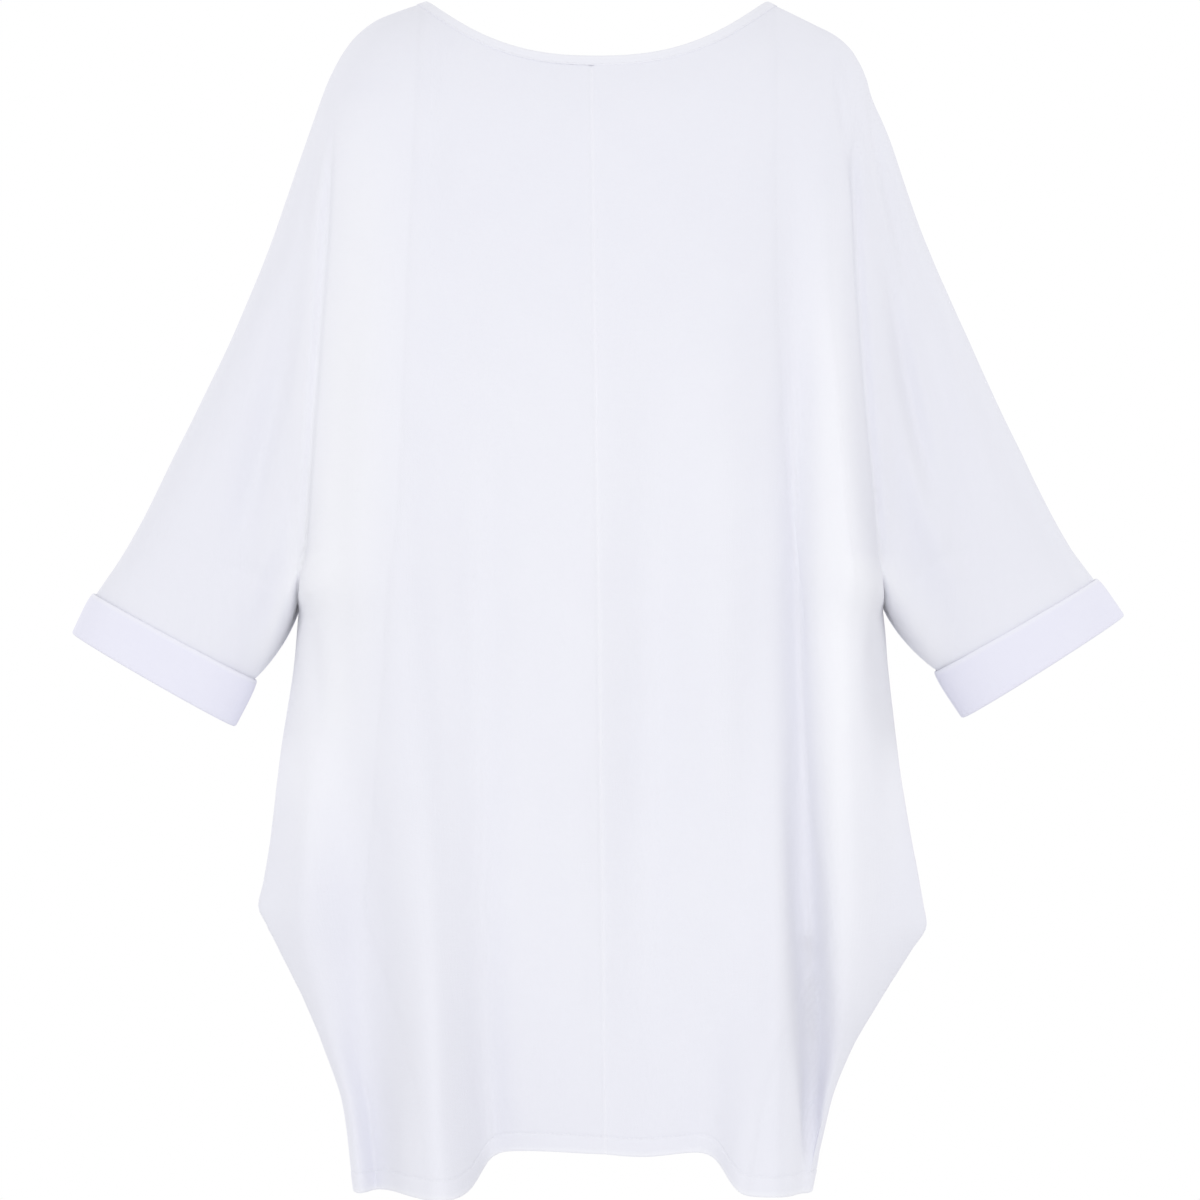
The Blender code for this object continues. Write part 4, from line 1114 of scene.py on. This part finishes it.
def rim_edges(faces):
    """Edges that belong to one face only, in that face's direction."""
    starts = faces.ravel()
    ends = np.roll(faces, -1, axis=1).ravel()
    used = set(zip(starts.tolist(), ends.tolist()))
    return sorted((a, b) for a, b in used if (b, a) not in used)


def smooth_piece(name, points, faces, material):
    """A smooth mesh of one material, as an object at the origin."""
    mesh = bpy.data.meshes.new(name)
    mesh.from_pydata(points.tolist(), [], [list(face) for face in faces])
    mesh.shade_smooth()
    mesh.materials.append(material)
    piece = bpy.data.objects.new(name, mesh)
    bpy.context.scene.collection.objects.link(piece)
    return piece


def cloth_piece(name, points, faces, places, layers_and_painted_light, material):
    """A piece of cloth with its map in metres and its share of the whiter colour: doubled cloth, and on
    the panels painted light.
    """
    piece = smooth_piece(name, points, faces, material)
    mesh = piece.data
    corner_points = np.zeros(len(mesh.loops), dtype=np.int32)
    mesh.loops.foreach_get("vertex_index", corner_points)
    cloth_map = mesh.uv_layers.new(name="cloth_map")
    cloth_map.data.foreach_set("uv", places[corner_points].astype(np.float32).ravel())
    doubled_and_painted_light_share = mesh.attributes.new("layers_and_painted_light", "FLOAT", "POINT")
    doubled_and_painted_light_share.data.foreach_set("value", layers_and_painted_light.astype(np.float32))
    mesh.set_sharp_from_angle(angle=SHARP_ANGLE)
    return piece


def closed_wall(name, outer, inner, faces, places, layers_and_painted_light, bulge, material):
    """Join an outer and an inner sheet with a rounded rim into one closed wall."""
    count = len(outer)
    middle = (outer + inner) / 2 + bulge
    walls = [tuple(face) for face in faces] + [tuple(face[::-1] + count) for face in faces]
    for a, b in rim_edges(faces):
        walls.append((b, a, a + 2 * count, b + 2 * count))
        walls.append((b + 2 * count, a + 2 * count, a + count, b + count))
    points = np.concatenate([outer, inner, middle])
    used = np.zeros(len(points), dtype=bool)
    for wall in walls:
        used[list(wall)] = True
    number = np.cumsum(used) - 1
    walls = [[int(number[i]) for i in wall] for wall in walls]
    places = np.concatenate([places] * 3)[used]
    layers_and_painted_light = np.concatenate([layers_and_painted_light] * 3)[used]
    return cloth_piece(name, points[used], walls, places, layers_and_painted_light, material)


print("edges sharper than", round(math.degrees(SHARP_ANGLE)), "degrees stay sharp")

# %% [markdown]
# ## The four panels
#
# Now each panel comes together: body and sleeve grids, the deep fold beside the arm softened,
# creases, ripples, seams and hem added along the sheet's own directions, and the wall closed.

# %% Soften the fold beside the arm
FOLD_SOFT_WITHIN = 0.060
FOLD_SOFT_RADIUS = 0.013
FOLD_SOFT_TOP_ROWS = 5
FOLD_SOFT_LOW_ROWS = 14


def soften_fold(body, sleeve):
    """Round the sharp line where the body's roll meets the sleeve, row by row."""
    last = body.shape[1] - 1
    for row in range(1, ARMPIT_ROW):
        line = np.concatenate([body[row], sleeve[:, row]])
        places = places_along(line)
        places = places - places[last]
        weight = np.gradient(places)
        near = np.where(np.abs(places) < FOLD_SOFT_WITHIN)[0]
        pull = np.exp(-((places[near, None] - places[None]) / FOLD_SOFT_RADIUS) ** 2) * weight[None]
        smooth = pull @ line / pull.sum(axis=1)[:, None]
        share = 1 - ease((np.abs(places[near]) - FOLD_SOFT_WITHIN / 2) / (FOLD_SOFT_WITHIN / 2))
        share = share * ease((ARMPIT_ROW - row) / FOLD_SOFT_LOW_ROWS) * ease(row / FOLD_SOFT_TOP_ROWS)
        line[near] += (smooth - line[near]) * share[:, None]
        body[row] = line[:last + 1]
        sleeve[:, row] = line[last + 1:]


print("fold softened within", FOLD_SOFT_WITHIN, "m of its line")

# %% Maps and edges of a panel
def grid_lengths(grid, axis, first):
    """Running lengths along a grid's rows or columns, from a first line of points."""
    return np.cumsum(np.linalg.norm(np.diff(grid, axis=axis, prepend=first), axis=2), axis=axis)


def panel_maps(body, sleeve):
    """Places on the flat cloth, in metres, for the body and sleeve grids."""
    down = grid_lengths(body, 0, body[:1]) - body[:1, :, 2]
    body_map = np.stack([grid_lengths(body, 1, body[:, :1]), -down], axis=2)
    first = body[:ARMPIT_ROW + 1, -1]
    out = body_map[:ARMPIT_ROW + 1, -1, 0] + grid_lengths(sleeve, 0, first[None])
    round_arm = grid_lengths(sleeve, 1, sleeve[:, :1]) - first[0, 2]
    return body_map, np.stack([out, -round_arm], axis=2)


def panel_numbers(body, sleeve):
    """Point numbers of both grids. The sleeve starts with the upper part of the body's side."""
    body_numbers = np.arange(body[..., 0].size).reshape(body.shape[:2])
    sleeve_numbers = np.arange(sleeve[..., 0].size).reshape(sleeve.shape[:2]) + body_numbers.size
    return body_numbers, np.concatenate([body_numbers[None, :ARMPIT_ROW + 1, -1], sleeve_numbers])


def sewn_edges(body_numbers, sleeve_numbers):
    """Point numbers of a panel's seams: shoulder, side, overarm, underarm and centre."""
    return [
        body_numbers[0, NECK_END - 1:],
        body_numbers[ARMPIT_ROW:, -1],
        sleeve_numbers[1:, 0],
        sleeve_numbers[:, -1],
        body_numbers[:, 0],
    ]


def turn_into_plane(normals, numbers, axes):
    """Turn the directions along a seam into the plane in which both of its panels lie."""
    normals[numbers] = unit(normals[numbers] * np.array(axes))


print("columns of a panel:", len(column_shares(RIGHT)), "with", NECK_END, "below the neck")

# %% Thickness, tint and painted light of a panel
ALLOWANCE_STEP = 0.002
STEP_ABOVE = 0.001
OWN_SIDE = 0.0001
ALLOWANCE_TINT = 0.03
# a narrow paler line on each seam: its thicker cloth, and a painted highlight where the seam line
# catches the light
SEAM_DOUBLED_AND_HIGHLIGHT = 0.35
SEAM_DOUBLED_AND_HIGHLIGHT_WIDTH = 0.0011
HEM_TINT = 0.05
HEM_TINT_STEP = 0.001
HEM_EDGE_TINT = 0.55
HEM_EDGE_TINT_HEIGHT = 0.005


def panel_middle(points, sleeve_numbers):
    """Depth of the middle between front and back, where the two meet at the sides and seams."""
    middle = -side_forward(-points[:, 2])
    for along, row in zip(np.linspace(0, 1, SLEEVE_ROWS + 1)[1:], sleeve_numbers[1:]):
        middle[row] = sleeve_middle(along)
    middle[sleeve_numbers[SLEEVE_ROWS + 1:]] = -CUFF_FORWARD
    return middle


def inner_sheet(face, outer, normals, away, up, middle):
    """The cloth's inner sheet, further in at allowances and hem, on its own side of the middle."""
    thick = CLOTH_THICK + ALLOWANCE_THICK * ease((ALLOWANCE + STEP_ABOVE - away) / ALLOWANCE_STEP)
    thick = thick + HEM_THICK * ease((HEM_STITCH_UP + STEP_ABOVE - up) / HEM_STEP)
    inner = outer - normals * thick[:, None]
    crossing = (inner[:, 1] - middle) * face < OWN_SIDE
    inner[crossing, 1] = middle[crossing] + face * OWN_SIDE
    return inner


def layers_and_painted_light_of_panel(face, points, away, up):
    """Share of the doubled cloth's colour at allowances, seams and hem, with painted light: a painted
    highlight on each seam line and the painted paler bands.
    """
    layers_and_painted_light = ALLOWANCE_TINT * ease((ALLOWANCE - away) / ALLOWANCE_STEP)
    # painted highlight along each seam line, together with its thicker cloth
    layers_and_painted_light = layers_and_painted_light + SEAM_DOUBLED_AND_HIGHLIGHT * np.exp(-(away / SEAM_DOUBLED_AND_HIGHLIGHT_WIDTH) ** 2)
    layers_and_painted_light = layers_and_painted_light + HEM_TINT * ease((HEM_STITCH_UP - up) / HEM_TINT_STEP)
    layers_and_painted_light = layers_and_painted_light + HEM_EDGE_TINT * (1 - ease(up / HEM_EDGE_TINT_HEIGHT))
    return np.clip(layers_and_painted_light + painted_light_and_backing(face, points), 0, 1)


print("cloth at an allowance:", round(CLOTH_THICK + ALLOWANCE_THICK, 4), "m")

# %% Make a panel
SEAM_CALM = 0.012
STRIP_CALM_FROM = 0.009
STRIP_CALM = 0.020
HEM_BULGE = 0.0005
PANEL_SIDES = {
    "front_right": (RIGHT, FRONT),
    "front_left": (LEFT, FRONT),
    "back_right": (RIGHT, BACK),
    "back_left": (LEFT, BACK),
}


def make_panel(name, side, face):
    """One panel of the top, with its half of the sleeve, as a thin closed wall."""
    body = body_grid(side, face)
    sleeve = sleeve_grid(side, face, body[:ARMPIT_ROW + 1, -1])
    soften_fold(body, sleeve)
    points = np.concatenate([grid.reshape(-1, 3) for grid in (body, sleeve)])
    places = np.concatenate([grid.reshape(-1, 2) for grid in panel_maps(body, sleeve)])
    body_numbers, sleeve_numbers = panel_numbers(body, sleeve)
    faces = np.concatenate([grid_faces(body_numbers), grid_faces(sleeve_numbers.T)])
    if side * face < 0:
        faces = faces[:, ::-1]

    edges = sewn_edges(body_numbers, sleeve_numbers)
    normals = sheet_normals(points, faces)
    turn_into_plane(normals, np.concatenate(edges[:-1]), (1, 0, 1))
    turn_into_plane(normals, edges[-1], (0, 1, 1))
    away = distance_to_line(points, np.concatenate([dense_line(points[edge]) for edge in edges]))
    neck_away = distance_to_line(points, dense_line(points[body_numbers[0, :NECK_END]]))
    above_hem = np.repeat(1 - row_parts(side), body.shape[1])
    above_hem = np.concatenate([above_hem, np.ones(sleeve[..., 0].size)])
    up = above_hem * (SIDE_HEM_DOWN - side_top(side))

    calm = ease(away / SEAM_CALM) * ease((neck_away - STRIP_CALM_FROM) / STRIP_CALM)
    height = (crease_height(face, points) + ripple_height(points)) * calm
    height = height + seam_height(points, away) + hem_height(up)
    outer = points + normals * height[:, None]
    inner = inner_sheet(face, outer, normals, away, up, panel_middle(points, sleeve_numbers))
    layers_and_painted_light = layers_and_painted_light_of_panel(face, points, away, up)
    bulge = np.zeros(points.shape)
    bulge[body_numbers[-1], 2] = -HEM_BULGE
    piece = closed_wall(name, outer, inner, faces, places, layers_and_painted_light, bulge, cloth)
    hem_row = np.argmin(np.abs(np.array(HEM_STEPS) - HEM_STITCH_UP)) - len(HEM_STEPS)
    stitched = body_numbers[hem_row]
    return piece, outer[stitched], normals[stitched]


panels = {}
hem_lines = {}
for name, (side, face) in PANEL_SIDES.items():
    panels[name], *hem_lines[name] = make_panel(name + "_cloth", side, face)
    print(name, len(panels[name].data.polygons), "faces")

# %% [markdown]
# ## Neck strip
#
# The neck is finished with a narrow strip cut on the bias and folded over the edge. Its
# section is a flat U. One section is drawn and carried round the neck as a ring, and because
# the strip bends with the neck, the section turns with the cloth under it.

# %% Neck strip
STRIP_PLACES = 64
STRIP_CLOTH = 0.00045
STRIP_OUT = 0.00060
STRIP_IN = -0.00125
STRIP_TINT = 0.25
STRIP_EDGE_TINT = 0.5
STRIP_EDGE_REACH = 0.3
STRIP_STITCH_REACH = 0.84
STRIP_STITCH_SINK = 0.00005
STRIP_SECTION_COLUMNS = ("reach", "out")
STRIP_SECTION = (
    (1.000, STRIP_OUT - 0.00035),
    (0.960, STRIP_OUT - 0.00005),
    (0.860, STRIP_OUT - 0.00012),
    (0.760, STRIP_OUT + 0.00008),
    (0.500, STRIP_OUT + 0.00016),
    (0.250, STRIP_OUT + 0.00012),
    (0.090, STRIP_OUT),
    (0.020, STRIP_OUT - 0.00040),
    (0.000, (STRIP_OUT + STRIP_IN) / 2),
    (0.020, STRIP_IN + 0.00040),
    (0.090, STRIP_IN),
    (0.500, STRIP_IN - 0.00010),
    (0.980, STRIP_IN),
    (1.000, STRIP_IN + STRIP_CLOTH),
    (0.500, STRIP_IN + STRIP_CLOTH),
    (0.150, STRIP_IN + STRIP_CLOTH),
    (0.150, STRIP_OUT - STRIP_CLOTH),
    (0.500, STRIP_OUT - STRIP_CLOTH),
    (0.990, STRIP_OUT - STRIP_CLOTH - 0.00015),
)


def neck_ring(reach):
    """Points round the neck at a distance below its edge, given as a share of the strip."""
    turn = np.sin(np.linspace(0, math.pi / 2, STRIP_PLACES + 1))
    quarters = (
        (RIGHT, FRONT, turn[:0:-1]), (LEFT, FRONT, turn[:-1]),
        (LEFT, BACK, turn[:0:-1]), (RIGHT, BACK, turn[:-1]),
    )
    ring = []
    for side, face, parts in quarters:
        for part in parts:
            x = side * neck_end(reach) * part + CENTRE_SEAM_TOP_X * (1 - part)
            down = neck_down(side, face, x, reach)
            share = abs(x) / half_width(side, down)
            ring.append((x, face * body_depth(side, face, x, share, down), -down))
    return np.array(ring)


def round_faces(numbers):
    """Faces between rings of point numbers, where each ring's end meets its start."""
    return grid_faces(np.concatenate([numbers, numbers[:, :1]], axis=1))


def ring_faces(count, levels):
    """Faces of a closed band: rings of points, the last one joined to the first."""
    numbers = np.arange(count * levels).reshape(levels, count)
    return round_faces(np.concatenate([numbers, numbers[:1]]))


def places_round(ring):
    """Distance of each point of a ring from its last point, round the ring."""
    return np.cumsum(np.linalg.norm(np.diff(ring, axis=0, prepend=ring[-1:]), axis=1))


def make_neck_strip():
    """The bias strip folded over the neck's edge."""
    edge, under = neck_ring(0.0), neck_ring(1.0)
    count = len(edge)
    normals = sheet_normals(
        np.concatenate([edge, under]), round_faces(np.arange(2 * count).reshape(2, count))
    )
    if normals[:count, 2].sum() < 0:
        normals = -normals
    at_edge, at_under = normals[:count], normals[count:]
    places = places_round(edge)
    rings, maps, layers_and_painted_light = [], [], []
    for row in named_rows(STRIP_SECTION_COLUMNS, STRIP_SECTION):
        reach = row["reach"]
        normal = at_edge * (1 - reach) + at_under * reach
        rings.append(neck_ring(reach) + normal * row["out"])
        maps.append(np.stack([places, np.full(count, reach * BINDING_WIDTH)], axis=1))
        layers_and_painted_light.append(np.full(count, STRIP_TINT if reach > STRIP_EDGE_REACH else STRIP_EDGE_TINT))
    faces = ring_faces(count, len(rings))[:, ::-1]
    piece = cloth_piece(
        "neck_strip", np.concatenate(rings), faces, np.concatenate(maps), np.concatenate(layers_and_painted_light),
        binding_cloth,
    )
    normal = at_edge * (1 - STRIP_STITCH_REACH) + at_under * STRIP_STITCH_REACH
    stitch_line = neck_ring(STRIP_STITCH_REACH) + normal * (STRIP_OUT - STRIP_STITCH_SINK)
    return piece, stitch_line, normal, places[-1]


neck_strip, neck_stitch_line, neck_stitch_normals, neck_length = make_neck_strip()
print("neck strip:", round(float(neck_length), 3), "m round")

# %% [markdown]
# ## Cuffs
#
# The sleeve's end is folded up outside as a wide cuff. Its section goes down the outside, over
# the fold at the bottom and a little way up inside, then back up behind the outside. A step of
# the section is a distance out from the sleeve and a height above the cuff's lower edge. The
# same ring that ends the sleeve is moved out by each step, so the cuff fits the sleeve all round.

# %% Cuffs
CUFF_CLEARANCE = 0.00045
CUFF_PLACES = 64
CUFF_INSIDE = -0.0016
CUFF_LEAN = 0.0018
CUFF_LEAN_POWER = 6
CUFF_CLOTH = 0.0007
CUFF_LIP_UP = 0.012
CUFF_LIP_FOOT = 0.0026
CUFF_OUTSIDE_UP = (0.0040, CUFF_HEIGHT - 0.0012)
CUFF_OUTSIDE_STEPS = 12
CUFF_ROUND_STEPS = 6
CUFF_ROUND_FLATTER = 0.8
CUFF_BEHIND = (
    (CUFF_CLEARANCE - 0.0004, CUFF_LIP_FOOT),
    (CUFF_CLEARANCE, 0.006),
    (CUFF_CLEARANCE + CUFF_FLARE * 0.012 / CUFF_HEIGHT, 0.012),
    (CUFF_CLEARANCE + CUFF_FLARE * 0.020 / CUFF_HEIGHT, 0.020),
    (CUFF_CLEARANCE, CUFF_HEIGHT - 0.0060),
    (CUFF_CLEARANCE, CUFF_HEIGHT - 0.0006),
    (CUFF_STAND + CUFF_FLARE - CUFF_LEAN - 0.0007, CUFF_HEIGHT),
    (CUFF_STAND + CUFF_FLARE - CUFF_LEAN - 0.0002, CUFF_HEIGHT - 0.0004),
)
CUFF_EDGE = 0.003
CUFF_TINT = 0.10
CUFF_EDGE_TINT = 0.4
CUFF_SWELL = 0.0007
CUFF_SWELL_SIZE = 0.045
CUFF_SWELL_OUT = 0.7 * CUFF_STAND


def cuff_ring(side, out, up):
    """A ring round the sleeve's end, moved out from it, at a height of the cuff."""
    inner, outer = sleeve_end_edge(side, up)
    places = even_oval_places(CUFF_PLACES + 1)
    ring = [(place, FRONT) for place in places] + [(place, BACK) for place in places[-2:0:-1]]
    length = np.linalg.norm(outer - inner)
    flat = np.array([
        ((place - 0.5) * length, face * CUFF_HALF_DEPTH * oval_share(place, 0.5))
        for place, face in ring
    ])
    ahead = unit(np.roll(flat, -1, axis=0) - flat)
    faces_out = np.stack([ahead[:, 1], -ahead[:, 0]], axis=1)
    if (faces_out * flat).sum() < 0:
        faces_out = -faces_out
    before = np.roll(faces_out, 1, axis=0)
    miter = (faces_out + before) / (1 + (faces_out * before).sum(axis=1))[:, None]
    moved = flat + miter * out
    plan = (inner + outer) / 2 + moved[:, :1] * (outer - inner) / length
    return np.stack([plan[:, 0], moved[:, 1] - CUFF_FORWARD, plan[:, 1]], axis=1)


def cuff_section():
    """Section of a cuff as steps out from the sleeve and up from its lower edge."""
    heights = np.linspace(CUFF_OUTSIDE_UP[1], CUFF_OUTSIDE_UP[0], CUFF_OUTSIDE_STEPS)
    lean = CUFF_LEAN * (heights / CUFF_HEIGHT) ** CUFF_LEAN_POWER
    stand = CUFF_STAND + CUFF_FLARE * heights / CUFF_HEIGHT - lean
    outside = list(zip(stand, heights))
    middle = (CUFF_STAND + CUFF_INSIDE) / 2
    radius = (CUFF_STAND - CUFF_INSIDE) / 2
    lift = radius * CUFF_ROUND_FLATTER
    turns = np.linspace(0, math.pi, CUFF_ROUND_STEPS + 1)
    fold = [(middle + radius * math.cos(turn), lift * (1 - math.sin(turn))) for turn in turns]
    lip_out = CUFF_INSIDE + CUFF_CLOTH
    inside = [(CUFF_INSIDE, CUFF_LIP_UP), (lip_out, CUFF_LIP_UP), (lip_out, CUFF_LIP_FOOT)]
    return outside + fold + inside + list(CUFF_BEHIND)


def make_cuff(name, side):
    """A cuff folded up round the sleeve's end."""
    rings, maps, layers_and_painted_light = [], [], []
    for out, up in cuff_section():
        ring = cuff_ring(side, out, up)
        if out > CUFF_SWELL_OUT and up > CUFF_EDGE:
            swell = CUFF_SWELL * noise_at(ring / CUFF_SWELL_SIZE) * ease(up / CUFF_HEIGHT)
            ring = ring + unit(ring - ring.mean(axis=0)) * swell[:, None]
        rings.append(ring)
        maps.append(np.stack([places_round(ring), np.full(len(ring), up)], axis=1))
        layers_and_painted_light.append(np.full(len(ring), CUFF_TINT + CUFF_EDGE_TINT * (up > CUFF_HEIGHT - CUFF_EDGE)))
    faces = ring_faces(len(rings[0]), len(rings))
    if side == RIGHT:
        faces = faces[:, ::-1]
    return cloth_piece(
        name, np.concatenate(rings), faces, np.concatenate(maps), np.concatenate(layers_and_painted_light), cuff_cloth
    )


cuffs = {
    "cuff_right": make_cuff("cuff_right_cloth", RIGHT),
    "cuff_left": make_cuff("cuff_left_cloth", LEFT),
}
print("cuffs:", [len(cuff.data.polygons) for cuff in cuffs.values()])

# %% [markdown]
# ## Stitches
#
# A line of stitches is one shape repeated hundreds of times. One stitch is modelled with a
# few faces, as a short bead of thread, and copied along the line, turned to follow it.

# %% One stitch
STITCH_LENGTH = 0.0027
STITCH_PITCH = 0.0034
STITCH_SIDES = 6
STITCH_RINGS = 4
STITCH_RAISED = 0.35
THREAD_RADIUS = 0.00022

bpy.ops.object.select_all(action="DESELECT")
bpy.ops.mesh.primitive_uv_sphere_add(
    segments=STITCH_SIDES, ring_count=STITCH_RINGS, radius=1.0, rotation=(0, math.radians(90), 0)
)
stitch = bpy.context.object
bpy.ops.object.transform_apply(location=True, rotation=True, scale=True)
stitch_points = np.array([v.co[:] for v in stitch.data.vertices])
stitch_points = stitch_points * np.array([STITCH_LENGTH / 2, THREAD_RADIUS, THREAD_RADIUS])
stitch_faces = [list(f.vertices) for f in stitch.data.polygons]
bpy.data.objects.remove(stitch, do_unlink=True)
print("one stitch:", len(stitch_faces), "faces")

# %% Thread material
THREAD_ROUGHNESS = 0.55
THREAD_SHEEN = 0.1
THREAD_MOTTLE_SCALE = 900
THREAD_DARK = (0.78, 0.78, 0.83, 1)
THREAD_LIGHT = (0.88, 0.88, 0.91, 1)

thread, thread_shader = node_material("white_thread")
thread_shader.inputs["Roughness"].default_value = THREAD_ROUGHNESS
thread_shader.inputs["Sheen Weight"].default_value = THREAD_SHEEN
thread_place = thread.node_tree.nodes.new("ShaderNodeTexCoord")
thread_noise = thread.node_tree.nodes.new("ShaderNodeTexNoise")
thread_noise.inputs["Scale"].default_value = THREAD_MOTTLE_SCALE
thread_tint = thread.node_tree.nodes.new("ShaderNodeValToRGB")
thread_tint.color_ramp.elements[0].color = THREAD_DARK
thread_tint.color_ramp.elements[1].color = THREAD_LIGHT
thread.node_tree.links.new(thread_place.outputs["Object"], thread_noise.inputs["Vector"])
thread.node_tree.links.new(thread_noise.outputs["Fac"], thread_tint.inputs["Fac"])
thread.node_tree.links.new(thread_tint.outputs["Color"], thread_shader.inputs["Base Color"])
print("material:", thread.name)

# %% Rows of stitches
def stitch_row(name, line, normals):
    """Stitches at equal steps along a line on the cloth."""
    places = places_along(line)
    count = int(places[-1] / STITCH_PITCH)
    middles = (np.arange(count) + 0.5) * places[-1] / count
    reach = STITCH_LENGTH / 2
    centre = read_line(places, line, middles)
    forward = unit(read_line(places, line, middles + reach) - read_line(places, line, middles - reach))
    sideways = unit(np.cross(read_line(places, normals, middles), forward))
    up = np.cross(forward, sideways)
    points, faces = [], []
    for i in range(count):
        turned = stitch_points @ np.stack([forward[i], sideways[i], up[i]])
        points.append(turned + centre[i] + up[i] * THREAD_RADIUS * STITCH_RAISED)
        faces += [[corner + i * len(stitch_points) for corner in face] for face in stitch_faces]
    return smooth_piece(name, np.concatenate(points), faces, thread)


hem_stitches = {name: stitch_row(name + "_hem_stitches", *hem_lines[name]) for name in hem_lines}
neck_stitches = stitch_row("neck_stitches", neck_stitch_line, neck_stitch_normals)
print("stitched rows:", len(hem_stitches) + 1)

# %% [markdown]
# ## Attach the pieces
#
# Every piece rides on the model's one body. The panels, cuffs and neck strip stand for their
# solids, which are hidden.

# %% Pieces
for name, piece in panels.items():
    stitches = hem_stitches[name]
    for part in (piece, stitches):
        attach(part, "root")
    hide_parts(name)
for name, piece in cuffs.items():
    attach(piece, "root")
    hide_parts(name)
for part in (neck_strip, neck_stitches):
    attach(part, "root")
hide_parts("neck_binding")
